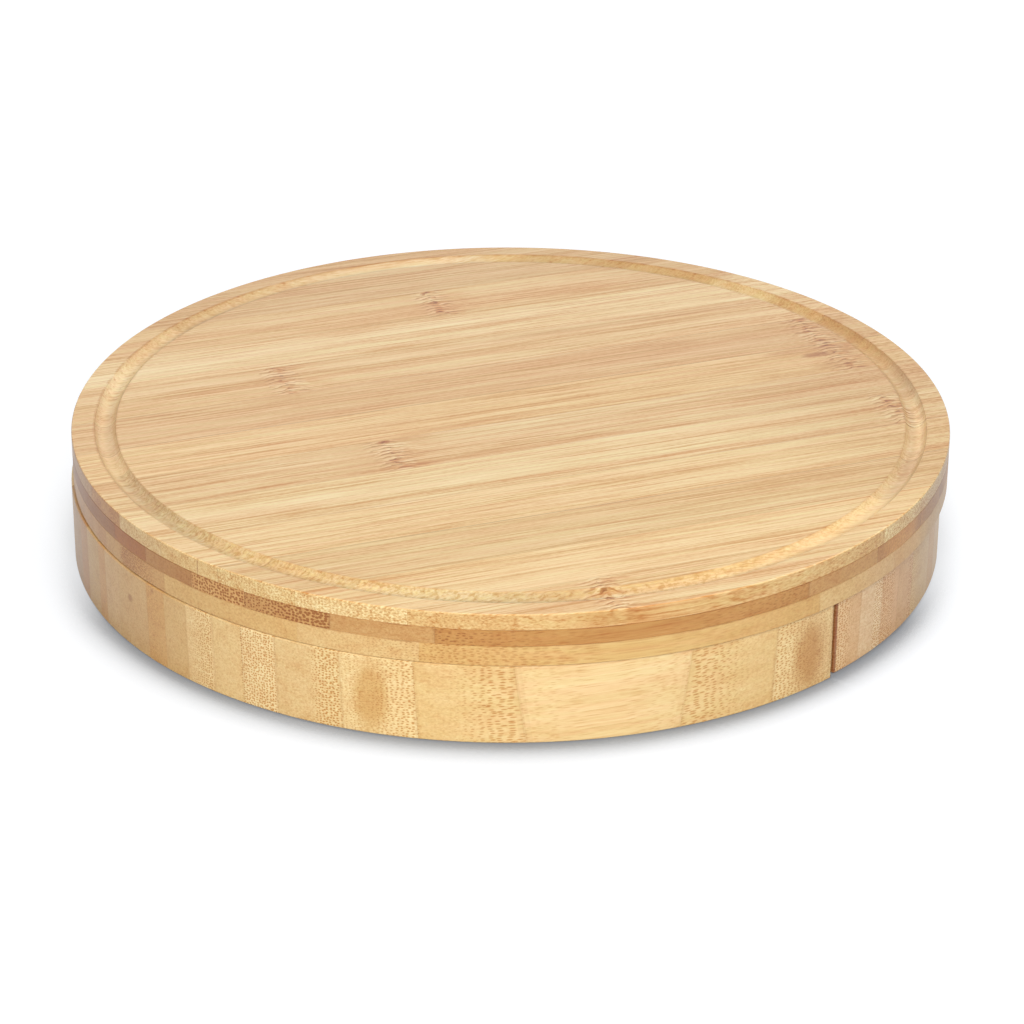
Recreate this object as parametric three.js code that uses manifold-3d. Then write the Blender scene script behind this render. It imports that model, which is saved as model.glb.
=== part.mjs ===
// Round bamboo cheese board with a half-round tool tray that swings out from under its top.
// Millimetres, +Z up. The origin lies on the table, under the centre of the round top.

import * as THREE from "three";
import { mergeVertices } from "three/addons/utils/BufferGeometryUtils.js";
import Module from "manifold-3d";

const wasm = await Module();
wasm.setup();

// Round top: three plies with a juice groove near the edge
const boardRadius = 130;
const topPlyThickness = 4.8;
const corePlyThickness = 4.8;
const underPlyThickness = 5.9;
const topArris = 0.7; // rounding of the top's upper edge
const grooveRim = 6.8; // flat rim outside the groove
const grooveWidth = 6.2;
const grooveDepth = 2.1;

// Base: a slightly smaller disc, glued on a little off centre and sawn into a block and a tray
const baseInset = 0.4; // from the top's rim to the base's, before the shift
const baseRadius = boardRadius - baseInset;
const baseShiftX = -1.2;
const baseShiftY = 0.6;
const blockThickness = 23.3;
const baseArris = 0.6; // rounding of the base's edges
const cutDegrees = -43.3; // direction of the saw cut, from +X to its end at the front right
const cutOffset = 5; // from the base's centre to the tray's sawn face
const cutGap = 0.9; // between the tray's face and the block's

// Rubber feet under the block
const standOff = 1.2; // from the table to the block
const footRadius = 7;
const footSeatDepth = 1.6;
const footInset = 24; // from the rim to a foot's centre
const footDegrees = [12, 90, 168];

// Half-round tray
const trayHeadGap = 0.45; // from the tray to the ply above it
const trayTableGap = 0.3;
const pivotInset = 15; // from the pivot to the tray's sawn face, and to its rim
const trayOpeningDegrees = 0; // swung out about the pivot, clockwise from above

// Glides under the tray
const glideRadius = 5;
const glideSeatDepth = 1.2;
const glideInset = 22;
const glideDegrees = [-50, -130];

// Pivot: a shoulder screw from below, in a threaded insert in the plies
const shoulderRadius = 4.5;
const threadRadius = 2.9;
const threadLength = 7.6;
const screwHeadRadius = 7.5;
const screwHeadHeight = 3;
const screwHeadInset = 1.2; // from the tray's underside to the head
const driveSocketRadius = 2.6;
const driveSocketDepth = 1.8;
const insertRadius = 5;
const insertLength = 8.6;
const washerRadius = 9;
const washerThickness = 1.2;

// Catch: a magnet in each sawn face near the tray's free end
const magnetRadius = 4;
const magnetLength = 3;
const magnetProud = 0.3; // how far a magnet stands out of its face
const magnetInset = 22; // from the rim, along the cut

// Tool recesses in the tray
const recessDepth = 14;
const recessCorner = 4;
const recessWall = 3;
const firstRecessInset = 9.5; // from the sawn face to the first recess
const toolSideGap = 1.5;
const toolEndGap = 2;
const fingerSlotWidth = 24;
const fingerSlotDepth = 9;
const fingerSlotCorner = 7;
const fingerSlotReach = 4; // past the first recess and the last

// Handles and ferrules, alike on every tool
const handleLength = 72;
const handleWidth = 13;
const handleNeckWidth = 10.4;
const handleThickness = 11;
const handleRounding = 2.4;
const ferruleLength = 8;
const ferruleWidth = 10;
const ferruleThickness = 8;
const ferruleCorner = 3;
const tangLength = 26; // from the blade's shoulder into the handle
const tangWidth = 4.2;
const bladeThickness = 1.6;
const buttCorner = 4.3; // corner of the handle's butt, seen from above

// Blades
const knifeBladeLength = 72;
const knifeBladeWidth = 15;
const cleaverBladeLength = 52;
const cleaverBladeWidth = 20;
const chiselBladeLength = 52;
const chiselBladeWidth = 17;
const forkBladeLength = 44;
const forkBladeWidth = 14;

// Clearances and cuts
const seatGap = 0.3; // between a piece and the one it sits in or on
const overrun = 2; // how far a cutting shape runs past the face that it opens

// Faceting: steps round a full circle
const boardSteps = 120;
const smallSteps = 32;

// Heights and places that follow from the sizes above
const plyBottom = standOff + blockThickness;
const corePlyBottom = plyBottom + underPlyThickness;
const topPlyBottom = corePlyBottom + corePlyThickness;
const trayTop = plyBottom - trayHeadGap;
const trayThickness = trayTop - trayTableGap;
const recessFloor = trayTop - recessDepth;
const cutAngle = THREE.MathUtils.degToRad(cutDegrees);
const cutHalfLength = Math.sqrt(baseRadius ** 2 - cutOffset ** 2);
const pivotY = -cutOffset - pivotInset;
const pivotX = -Math.sqrt((baseRadius - pivotInset) ** 2 - pivotY ** 2);
const headBottom = trayTableGap + screwHeadInset;
const headTop = headBottom + screwHeadHeight;
const lowerWasherBottom = headTop + seatGap;
const trayShelf = lowerWasherBottom + washerThickness + seatGap;
const shoulderTop = plyBottom - seatGap;
const upperWasherBottom = shoulderTop - washerThickness;

const bamboo = new THREE.MeshStandardMaterial({ color: 0xe8c795, roughness: 0.55, metalness: 0 });
const darkBamboo = new THREE.MeshStandardMaterial({ color: 0xb9854e, roughness: 0.6, metalness: 0 });
const steel = new THREE.MeshStandardMaterial({ color: 0xc4c6c8, roughness: 0.3, metalness: 1 });
const brass = new THREE.MeshStandardMaterial({ color: 0xb5a05a, roughness: 0.35, metalness: 1 });
const nickel = new THREE.MeshStandardMaterial({ color: 0xb8b8ba, roughness: 0.25, metalness: 1 });
const rubber = new THREE.MeshStandardMaterial({ color: 0x2b2a29, roughness: 0.9, metalness: 0 });
const nylon = new THREE.MeshStandardMaterial({ color: 0xe6e3dc, roughness: 0.5, metalness: 0 });

// Closed geometry with its shared corners merged, so that only positions are left
function welded(geometry) {
  const bare = geometry.clone();
  bare.deleteAttribute("normal");
  bare.deleteAttribute("uv");
  return mergeVertices(bare);
}

function solidOf(geometry) {
  const bare = welded(geometry);
  return new wasm.Manifold(new wasm.Mesh({
    numProp: 3,
    vertProperties: new Float32Array(bare.attributes.position.array),
    triVerts: new Uint32Array(bare.index.array),
  }));
}

function geometryOf(solid) {
  const mesh = solid.getMesh();
  const geometry = new THREE.BufferGeometry();
  geometry.setAttribute("position", new THREE.BufferAttribute(new Float32Array(mesh.vertProperties), 3));
  geometry.setIndex(new THREE.BufferAttribute(new Uint32Array(mesh.triVerts), 1));
  return geometry;
}

// A body less each of the cutting shapes
function cutBy(body, cutters) {
  let solid = solidOf(body);
  for (const cutter of cutters) {
    solid = solid.subtract(solidOf(cutter));
  }
  return geometryOf(solid);
}

// Upright cylinder that stands on the height `bottom`
function cylinder(radius, height, x, y, bottom, steps = smallSteps) {
  const geometry = new THREE.CylinderGeometry(radius, radius, height, steps);
  geometry.rotateX(Math.PI / 2);
  geometry.translate(x, y, bottom + height / 2);
  return geometry;
}

// Cylinder that lies along Y, from the height of its axis and its two ends
function lyingCylinder(radius, x, fromY, toY, z) {
  const geometry = new THREE.CylinderGeometry(radius, radius, toY - fromY, smallSteps);
  geometry.translate(x, (fromY + toY) / 2, z);
  return geometry;
}

// Solid of revolution about Z from [radius, height] pairs, listed upwards on the outside
function turned(profile, steps) {
  const geometry = new THREE.LatheGeometry(profile.map(([r, z]) => new THREE.Vector2(r, z)), steps);
  geometry.rotateX(Math.PI / 2);
  return geometry;
}

// Points round an arc, with as many steps as its share of a full circle
function arcPoints(x, y, radius, from, to, stepsPerTurn) {
  const steps = Math.max(2, Math.ceil((Math.abs(to - from) / (2 * Math.PI)) * stepsPerTurn));
  return Array.from({ length: steps + 1 }, (_, i) => {
    const angle = from + ((to - from) * i) / steps;
    return new THREE.Vector2(x + radius * Math.cos(angle), y + radius * Math.sin(angle));
  });
}

function roundedRectangle(width, height, corner, x = 0, y = 0) {
  const dx = width / 2 - corner;
  const dy = height / 2 - corner;
  const quarter = Math.PI / 2;
  return new THREE.Shape([
    ...arcPoints(x + dx, y + dy, corner, 0, quarter, smallSteps),
    ...arcPoints(x - dx, y + dy, corner, quarter, 2 * quarter, smallSteps),
    ...arcPoints(x - dx, y - dy, corner, 2 * quarter, 3 * quarter, smallSteps),
    ...arcPoints(x + dx, y - dy, corner, 3 * quarter, 4 * quarter, smallSteps),
  ]);
}

// Outline raised from one height to another, with its upper and lower edges eased
function raised(shape, bottom, top, easing = 0, easingSteps = 1) {
  const geometry = new THREE.ExtrudeGeometry(shape, {
    depth: top - bottom - 2 * easing,
    bevelEnabled: easing > 0,
    bevelThickness: easing,
    bevelSize: easing,
    bevelOffset: -easing,
    bevelSegments: easingSteps,
  });
  geometry.translate(0, 0, bottom + easing);
  return geometry;
}

function addMesh(group, name, geometry, material) {
  const mesh = new THREE.Mesh(welded(geometry), material);
  mesh.geometry.computeVertexNormals();
  mesh.name = name;
  group.add(mesh);
  return mesh;
}

// Point of the base's own frame, seen from the board's
function onBoard(x, y) {
  const point = new THREE.Vector2(x, y).rotateAround(new THREE.Vector2(0, 0), cutAngle);
  return point.add(new THREE.Vector2(baseShiftX, baseShiftY));
}

const cheeseBoard = new THREE.Group();

// Top ply: a disc with the juice groove turned into it
function topPlyGeometry() {
  const grooveOuter = boardRadius - grooveRim;
  const grooveCentre = grooveOuter - grooveWidth / 2;
  // the groove's round floor, from its half width and depth
  const floorRadius = ((grooveWidth / 2) ** 2 + grooveDepth ** 2) / (2 * grooveDepth);
  const halfAngle = Math.asin(grooveWidth / 2 / floorRadius);
  const floorCentre = topPlyThickness - grooveDepth + floorRadius;
  const lowest = -Math.PI / 2;
  const floor = arcPoints(
    grooveCentre, floorCentre, floorRadius, lowest + halfAngle, lowest - halfAngle, smallSteps);
  const edge = arcPoints(
    boardRadius - topArris, topPlyThickness - topArris, topArris, 0, Math.PI / 2, smallSteps / 4);
  const profile = [
    [0, 0],
    [boardRadius, 0],
    ...edge.map((p) => [p.x, p.y]),
    ...floor.map((p) => [p.x, p.y]),
    [0, topPlyThickness],
  ];
  return turned(profile, boardSteps);
}

addMesh(cheeseBoard, "top_ply", topPlyGeometry(), bamboo).position.z = topPlyBottom;

// Core ply and under ply: discs, bored for the pivot's insert
const pivotOnBoard = onBoard(pivotX, pivotY);
const insertTop = plyBottom + insertLength;
const boreInCore = insertTop + seatGap - corePlyBottom;
const coreBore = cylinder(
  insertRadius + seatGap, boreInCore + overrun, pivotOnBoard.x, pivotOnBoard.y, -overrun);
const underBore = cylinder(
  insertRadius + seatGap, underPlyThickness + 2 * overrun, pivotOnBoard.x, pivotOnBoard.y, -overrun);
const coreDisc = cylinder(boardRadius, corePlyThickness, 0, 0, 0, boardSteps);
const underDisc = cylinder(boardRadius, underPlyThickness, 0, 0, 0, boardSteps);
addMesh(cheeseBoard, "core_ply", cutBy(coreDisc, [coreBore]), darkBamboo).position.z = corePlyBottom;
addMesh(cheeseBoard, "under_ply", cutBy(underDisc, [underBore]), bamboo).position.z = plyBottom;

// The base's frame: +X runs along the saw cut to the tray's free end, and +Y into the block
const base = new THREE.Group();
base.position.set(baseShiftX, baseShiftY, 0);
base.rotation.z = cutAngle;
cheeseBoard.add(base);

const blockFace = -cutOffset + cutGap;
const magnetX = cutHalfLength - magnetInset;
const magnetZ = (trayTop + trayTableGap) / 2;

// Places on the base given by their angle and their distance from the rim
function ringPlaces(degrees, inset) {
  return degrees.map((degree) => {
    const angle = THREE.MathUtils.degToRad(degree);
    return { x: (baseRadius - inset) * Math.cos(angle), y: (baseRadius - inset) * Math.sin(angle) };
  });
}

const footPlaces = ringPlaces(footDegrees, footInset);
const glidePlaces = ringPlaces(glideDegrees, glideInset);

// Fixed block: the larger part of the base disc, with seats for the feet and a magnet
function blockGeometry() {
  const faceAngle = Math.asin(blockFace / baseRadius);
  const outline = new THREE.Shape(arcPoints(0, 0, baseRadius, faceAngle, Math.PI - faceAngle, boardSteps));
  const seats = footPlaces.map(({ x, y }) =>
    cylinder(footRadius + seatGap, footSeatDepth + seatGap + overrun, x, y, standOff - overrun));
  const holeEnd = blockFace + magnetLength - magnetProud + seatGap;
  const magnetHole = lyingCylinder(
    magnetRadius + seatGap, magnetX, blockFace - overrun, holeEnd, magnetZ);
  return cutBy(raised(outline, standOff, plyBottom, baseArris), [...seats, magnetHole]);
}

addMesh(base, "base_block", blockGeometry(), bamboo);

// Pads pressed into round seats: rubber feet under the block, glides under the tray
const padRoundingShare = 0.25;

function padGeometry(radius, height, x, y) {
  const round = height * padRoundingShare;
  const profile = [
    [0, 0],
    [radius - round, 0],
    [radius, round],
    [radius, height],
    [0, height],
  ];
  return turned(profile, smallSteps).translate(x, y, 0);
}

footPlaces.forEach(({ x, y }, i) => {
  addMesh(base, `foot_${i + 1}`, padGeometry(footRadius, standOff + footSeatDepth, x, y), rubber);
});

// Magnets: the block's reaches towards the tray, and the tray's meets it with a small gap
const blockMagnetFace = blockFace - magnetProud;
const trayMagnetFace = -cutOffset + magnetProud;
addMesh(
  base, "block_magnet",
  lyingCylinder(magnetRadius, magnetX, blockMagnetFace, blockMagnetFace + magnetLength, magnetZ), nickel);

// Pivot insert: a threaded sleeve in the under ply and core ply
const insertOutside = cylinder(insertRadius, insertLength, pivotX, pivotY, plyBottom);
const insertBore = cylinder(
  threadRadius + seatGap, insertLength + 2 * overrun, pivotX, pivotY, plyBottom - overrun);
addMesh(base, "pivot_insert", cutBy(insertOutside, [insertBore]), brass);

// Pivot screw: head, shoulder and thread in one, with a six-sided socket in the head
function screwGeometry() {
  const profile = [
    [0, headBottom],
    [screwHeadRadius, headBottom],
    [screwHeadRadius, headTop],
    [shoulderRadius, headTop],
    [shoulderRadius, shoulderTop],
    [threadRadius, shoulderTop],
    [threadRadius, shoulderTop + threadLength],
    [0, shoulderTop + threadLength],
  ];
  const body = turned(profile, smallSteps).translate(pivotX, pivotY, 0);
  const hexagonSides = 6;
  const socket = cylinder(
    driveSocketRadius, driveSocketDepth + overrun, pivotX, pivotY, headBottom - overrun, hexagonSides);
  return cutBy(body, [socket]);
}

addMesh(base, "pivot_screw", screwGeometry(), steel);

// Washers: one between the head and the tray, one between the tray and the plies
function washerGeometry(bottom) {
  const disc = cylinder(washerRadius, washerThickness, pivotX, pivotY, bottom);
  const hole = cylinder(
    shoulderRadius + seatGap, washerThickness + 2 * overrun, pivotX, pivotY, bottom - overrun);
  return cutBy(disc, [hole]);
}

addMesh(base, "lower_washer", washerGeometry(lowerWasherBottom), nylon);
addMesh(base, "upper_washer", washerGeometry(upperWasherBottom), nylon);

// Blade outlines: x runs from the shoulder to the tip, y across the blade
const knifeShares = [
  [0, -0.22], [0.05, -0.5], [0.62, -0.5], [0.8, -0.36], [0.93, -0.02], [1, 0.42], [0.975, 0.46],
  [0.9, 0.12], [0.875, 0.16], [0.92, 0.5], [0.88, 0.5], [0.8, 0.3], [0.05, 0.3], [0, 0.22],
];
const cleaverShares = [
  [0, -0.2], [0.08, -0.44], [0.14, -0.5], [0.92, -0.5], [0.98, -0.46], [1, -0.38],
  [1, 0.38], [0.98, 0.46], [0.92, 0.5], [0.14, 0.5], [0.08, 0.44], [0, 0.2],
];
const chiselShares = [
  [0, -0.24], [0.1, -0.3], [0.97, -0.5], [1, -0.47], [1, 0.47], [0.97, 0.5], [0.1, 0.3], [0, 0.24],
];
const forkShares = [
  [0, -0.2], [0.12, -0.28], [0.32, -0.5], [0.97, -0.5], [1, -0.42], [1, -0.34], [0.97, -0.26],
  [0.45, -0.2], [0.4, -0.1], [0.4, 0.1], [0.45, 0.2],
  [0.97, 0.26], [1, 0.34], [1, 0.42], [0.97, 0.5], [0.32, 0.5], [0.12, 0.28], [0, 0.2],
];
const tools = [
  { name: "knife", bladeLength: knifeBladeLength, bladeWidth: knifeBladeWidth, shares: knifeShares },
  { name: "cleaver", bladeLength: cleaverBladeLength, bladeWidth: cleaverBladeWidth, shares: cleaverShares },
  { name: "chisel", bladeLength: chiselBladeLength, bladeWidth: chiselBladeWidth, shares: chiselShares },
  { name: "fork", bladeLength: forkBladeLength, bladeWidth: forkBladeWidth, shares: forkShares },
];

// Each tool has a recess of its own, in rows from the sawn face to the rim
let rowEdge = -cutOffset - firstRecessInset;
const firstRowEdge = rowEdge;
for (const tool of tools) {
  tool.length = handleLength + seatGap + ferruleLength + tool.bladeLength;
  tool.recessLength = tool.length + 2 * toolEndGap;
  tool.recessWidth = Math.max(tool.bladeWidth, handleWidth) + 2 * toolSideGap;
  tool.y = rowEdge - tool.recessWidth / 2;
  rowEdge -= tool.recessWidth + recessWall;
}
const lastRowEdge = rowEdge + recessWall;
const handleCentres = tools.map((tool) => (tool.length - handleLength) / 2);
const fingerSlotX = handleCentres.reduce((sum, x) => sum + x, 0) / tools.length;

// The tray swings about its pivot, so its group stands there
const tray = new THREE.Group();
tray.position.set(pivotX, pivotY, 0);
tray.rotation.z = -THREE.MathUtils.degToRad(trayOpeningDegrees);
base.add(tray);
const inTray = new THREE.Group();
inTray.position.set(-pivotX, -pivotY, 0);
tray.add(inTray);

// Tray: the rest of the base disc, with its corner rounded about the pivot
function trayGeometry() {
  const rimEnd = -Math.PI + Math.atan2(-pivotY, -pivotX);
  const outline = new THREE.Shape([
    ...arcPoints(0, 0, baseRadius, -Math.asin(cutOffset / baseRadius), rimEnd, boardSteps),
    ...arcPoints(pivotX, pivotY, pivotInset, rimEnd, -1.5 * Math.PI, smallSteps).slice(1),
  ]);
  const body = raised(outline, trayTableGap, trayTop, baseArris);
  const cutters = tools.map((tool) => {
    const recess = roundedRectangle(tool.recessLength, tool.recessWidth, recessCorner, 0, tool.y);
    return raised(recess, recessFloor, trayTop + overrun);
  });
  const slotCentre = (firstRowEdge + lastRowEdge) / 2;
  const slotLength = firstRowEdge - lastRowEdge + 2 * fingerSlotReach;
  cutters.push(raised(
    roundedRectangle(fingerSlotWidth, slotLength, fingerSlotCorner, fingerSlotX, slotCentre),
    trayTop - fingerSlotDepth, trayTop + overrun));
  cutters.push(cylinder(
    shoulderRadius + seatGap, trayThickness + 2 * overrun, pivotX, pivotY, trayTableGap - overrun));
  cutters.push(cylinder(
    washerRadius + seatGap, trayShelf - trayTableGap + overrun, pivotX, pivotY, trayTableGap - overrun));
  const washerSeatDepth = trayHeadGap + washerThickness;
  cutters.push(cylinder(
    washerRadius + seatGap, washerSeatDepth + overrun, pivotX, pivotY, upperWasherBottom - seatGap));
  for (const { x, y } of glidePlaces) {
    cutters.push(cylinder(
      glideRadius + seatGap, glideSeatDepth + seatGap + overrun, x, y, trayTableGap - overrun));
  }
  cutters.push(lyingCylinder(
    magnetRadius + seatGap, magnetX, trayMagnetFace - magnetLength - seatGap, -cutOffset + overrun, magnetZ));
  return cutBy(body, cutters);
}

addMesh(inTray, "tray_block", trayGeometry(), bamboo);
addMesh(
  inTray, "tray_magnet",
  lyingCylinder(magnetRadius, magnetX, trayMagnetFace - magnetLength, trayMagnetFace, magnetZ), nickel);
glidePlaces.forEach(({ x, y }, i) => {
  const glide = padGeometry(glideRadius, trayTableGap + glideSeatDepth, x, y);
  addMesh(inTray, `tray_glide_${i + 1}`, glide, nylon);
});

// In a tool's frame its length runs along X with the tip at +X, and it lies on the recess's floor
const tangHeight = handleThickness / 2;
const tangInHandle = tangLength - ferruleLength - seatGap;

// Handle: tapers to a neck at the ferrule, and is slotted for the tang
function handleGeometry(buttX) {
  const neckX = buttX + handleLength;
  const cornerX = buttX + buttCorner;
  const cornerY = handleWidth / 2 - buttCorner;
  const outline = new THREE.Shape([
    ...arcPoints(cornerX, -cornerY, buttCorner, 1.5 * Math.PI, Math.PI, smallSteps),
    ...arcPoints(cornerX, cornerY, buttCorner, Math.PI, 0.5 * Math.PI, smallSteps),
    new THREE.Vector2(neckX, handleNeckWidth / 2),
    new THREE.Vector2(neckX, -handleNeckWidth / 2),
  ]);
  const roundingSteps = 3;
  const body = raised(outline, 0, handleThickness, handleRounding, roundingSteps);
  const slot = new THREE.BoxGeometry(
    tangInHandle + seatGap + overrun, tangWidth + 2 * seatGap, bladeThickness + 2 * seatGap);
  slot.translate(neckX + overrun - (tangInHandle + seatGap + overrun) / 2, 0, tangHeight);
  return cutBy(body, [slot]);
}

// Ferrule: a collar between the handle and the blade's shoulder, slotted for the tang
function ferruleGeometry(startX) {
  const outside = roundedRectangle(ferruleThickness, ferruleWidth, ferruleCorner);
  const body = raised(outside, 0, ferruleLength);
  body.rotateY(Math.PI / 2);
  body.translate(startX, 0, tangHeight);
  const slot = new THREE.BoxGeometry(
    ferruleLength + 2 * overrun, tangWidth + 2 * seatGap, bladeThickness + 2 * seatGap);
  slot.translate(startX + ferruleLength / 2, 0, tangHeight);
  return cutBy(body, [slot]);
}

// Blade and tang in one plate
function bladeGeometry(tool, shoulderX) {
  const points = tool.shares.map(([along, across]) =>
    new THREE.Vector2(shoulderX + along * tool.bladeLength, across * tool.bladeWidth));
  points.push(
    new THREE.Vector2(shoulderX, tangWidth / 2),
    new THREE.Vector2(shoulderX - tangLength, tangWidth / 2),
    new THREE.Vector2(shoulderX - tangLength, -tangWidth / 2),
    new THREE.Vector2(shoulderX, -tangWidth / 2),
  );
  return raised(new THREE.Shape(points), tangHeight - bladeThickness / 2, tangHeight + bladeThickness / 2);
}

for (const tool of tools) {
  const group = new THREE.Group();
  group.position.set(0, tool.y, recessFloor + seatGap);
  group.rotation.z = Math.PI; // handles lie towards the tray's free end
  inTray.add(group);
  const buttX = -tool.length / 2;
  const ferruleX = buttX + handleLength + seatGap;
  const shoulderX = ferruleX + ferruleLength;
  addMesh(group, `${tool.name}_handle`, handleGeometry(buttX), bamboo);
  addMesh(group, `${tool.name}_ferrule`, ferruleGeometry(ferruleX), steel);
  addMesh(group, `${tool.name}_blade`, bladeGeometry(tool, shoulderX), steel);
}

export default cheeseBoard;
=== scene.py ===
# Round bamboo cheese board with a swing-out tool tray, dressed over its CAD frame.
# Lengths in the dictionaries are millimetres and angles are degrees, unless a note says otherwise.
import math

import bmesh
import bpy
from mathutils import Matrix, Vector


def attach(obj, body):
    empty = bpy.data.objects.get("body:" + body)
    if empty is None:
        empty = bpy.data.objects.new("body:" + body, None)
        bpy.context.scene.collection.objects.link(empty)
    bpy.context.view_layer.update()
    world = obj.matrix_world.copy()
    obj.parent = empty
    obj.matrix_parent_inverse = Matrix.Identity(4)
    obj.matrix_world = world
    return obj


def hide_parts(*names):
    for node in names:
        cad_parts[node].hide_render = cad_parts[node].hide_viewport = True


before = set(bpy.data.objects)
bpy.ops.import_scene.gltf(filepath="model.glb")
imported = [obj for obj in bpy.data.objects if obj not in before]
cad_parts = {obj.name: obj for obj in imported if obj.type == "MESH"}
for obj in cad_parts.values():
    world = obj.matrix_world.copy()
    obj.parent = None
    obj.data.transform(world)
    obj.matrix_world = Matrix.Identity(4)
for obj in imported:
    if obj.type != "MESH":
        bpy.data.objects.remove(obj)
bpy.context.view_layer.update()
scene = bpy.context.scene
mm = 0.001
tau = 2 * math.pi


def moved(x, y, z=0.0):
    return Matrix.Translation(Vector((x, y, z)) * mm)


def turned(degrees, axis="Z"):
    return Matrix.Rotation(math.radians(degrees), 4, axis)


# the base is glued on a little off centre; +X of its own frame runs along the saw cut to the tray's free end
cutDegrees = -43.3
onBase = moved(-1.2, 0.6) @ turned(cutDegrees)


class Value:
    # a number, colour or shape that a node gives; sums of numbers read as plain arithmetic and add maths nodes

    def __init__(self, socket):
        self.socket = socket

    def __add__(self, other):
        return calc("ADD", self, other)

    def __sub__(self, other):
        return calc("SUBTRACT", self, other)

    def __rsub__(self, other):
        return calc("SUBTRACT", other, self)

    def __mul__(self, other):
        return calc("MULTIPLY", self, other)

    def __truediv__(self, other):
        return calc("DIVIDE", self, other)

    def __pow__(self, other):
        return calc("POWER", self, other)

    def __abs__(self):
        return calc("ABSOLUTE", self)

    __radd__ = __add__
    __rmul__ = __mul__


def put(kind, inputs=None, tree=None, **settings):
    # adds a node to the tree that is named, or else to the one that its inputs come from
    inputs = inputs or {}
    if tree is None:
        tree = next(value.socket.id_data for value in inputs.values() if isinstance(value, Value))
    node = tree.nodes.new(kind)
    for key, value in settings.items():
        setattr(node, key, value)
    for key, value in inputs.items():
        if isinstance(value, Value):
            tree.links.new(value.socket, node.inputs[key])
        else:
            node.inputs[key].default_value = value
    return node


def give(kind, inputs=None, output=0, tree=None, **settings):
    return Value(put(kind, inputs, tree, **settings).outputs[output])


def calc(operation, *values):
    return give("ShaderNodeMath", dict(enumerate(values)), operation=operation)


def least(first, second):
    return calc("MINIMUM", first, second)


def most(first, second):
    return calc("MAXIMUM", first, second)


def scaled(value, factor, more):
    return calc("MULTIPLY_ADD", value, factor, more)


def vector(x, y, z=0.0):
    return give("ShaderNodeCombineXYZ", {"X": x, "Y": y, "Z": z})


def vectorCalc(operation, *values):
    return give("ShaderNodeVectorMath", dict(enumerate(values)), "Value" if operation == "LENGTH" else 0,
                operation=operation)


def parts(place):
    # the x, y and z of a vector
    return [Value(output) for output in put("ShaderNodeSeparateXYZ", {"Vector": place}).outputs]


def fade(value, fromValue, toValue, low=0.0, high=1.0):
    # smooth step from low at fromValue to high at toValue
    return give("ShaderNodeMapRange", {"Value": value, "From Min": fromValue, "From Max": toValue,
                                       "To Min": low, "To Max": high}, "Result", interpolation_type="SMOOTHSTEP")


def noise(place, detail=2.0, roughness=0.5, distortion=0.0, scale=1.0):
    return give("ShaderNodeTexNoise", {"Vector": place, "Scale": scale, "Detail": detail,
                                       "Roughness": roughness, "Distortion": distortion}, "Fac")


def ramp(value, stops, interpolation="LINEAR", output="Color"):
    # stops are pairs of a place from 0 to 1 and a colour or a plain level
    node = put("ShaderNodeValToRGB", {"Fac": value})
    band = node.color_ramp
    band.interpolation = interpolation
    while len(band.elements) > 1:
        band.elements.remove(band.elements[-1])
    for i, (position, colour) in enumerate(stops):
        element = band.elements[0] if i == 0 else band.elements.new(position)
        element.position = position
        element.color = colour if isinstance(colour, tuple) else (colour, colour, colour, 1)
    return Value(node.outputs[output])


def tint(colour, other, factor, blend="MIX"):
    return give("ShaderNodeMix", {0: factor, 6: colour, 7: other}, 2, data_type="RGBA", blend_type=blend,
                clamp_factor=True)


def stain(colour, stainColour, amount):
    # multiplies by a colour, as far as the amount says; above 1 it lightens
    return tint(colour, (*stainColour, 1), amount, "MULTIPLY")


def linear(red, green, blue, alpha=1.0):
    # a colour as it shows on screen, 0 to 255, in the linear values that nodes take
    def one(value):
        value /= 255
        return value / 12.92 if value <= 0.04045 else ((value + 0.055) / 1.055) ** 2.4
    return (one(red), one(green), one(blue), alpha)


def newMaterial(name):
    material = bpy.data.materials.new(name)
    material.use_nodes = True
    material.node_tree.nodes.clear()
    return material, material.node_tree


def surface(shader, output="ShaderNodeOutputMaterial"):
    put(output, {"Surface": shader})


def bump(height, strength):
    # height in millimetres
    return give("ShaderNodeBump", {"Height": height, "Strength": strength, "Distance": mm})


def inMillimetres(place, degrees):
    # a place in metres, in a frame turned about Z
    return give("ShaderNodeMapping", {"Vector": place, "Rotation": (0, 0, -math.radians(degrees)),
                                      "Scale": (1 / mm, 1 / mm, 1 / mm)})


# Bamboo strips run along the grain. Each starts at its edge, measured across the grain, and has its colour,
# how strongly the glue line on that edge shows, and where a knuckle crosses it, if one does.
rampSteps = 255
knuckleSpan = 150  # no knuckle is further along the grain than this
glueLines = {"hair": 0.16, "wide": 0.6, "seam": (0.34, 0.05)}
# pairs are the distances from a knuckle's line at which something begins to show and at which it is full
knuckleShape = {"ragged": 5.0, "spacing": 2.0, "lean": 0.22, "sway": 12.0, "strokes": (7.5, 2.5),
                "after": (19.0, 3.0), "before": (-24.0, -1.0), "spots": (2.0, 0.6), "ticks": (0.9, 0.3)}

# colours to multiply by
stains = {"darkFibre": (0.745, 0.51, 0.30), "paleFibre": (1.13, 1.30, 1.54), "darkPore": (0.74, 0.58, 0.44),
          "palePore": (1.12, 1.2, 1.3), "afterKnuckle": (0.88, 0.73, 0.60), "beforeKnuckle": (0.84, 0.68, 0.55),
          "cream": (1.11, 1.22, 1.40), "shade": (0.68, 0.48, 0.35), "spot": (0.80, 0.57, 0.40),
          "tick": (0.58, 0.40, 0.28), "routed": (0.88, 0.90, 0.93), "paler": (1.03, 1.18, 1.42),
          "paintedShadeWarmth": (1.04, 0.93, 0.74), "torn": (0.80, 0.66, 0.42), "crumb": (1.08, 1.12, 1.0),
          "lip": (0.78, 0.63, 0.5), "glue": (0.5, 0.34, 0.24)}


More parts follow.
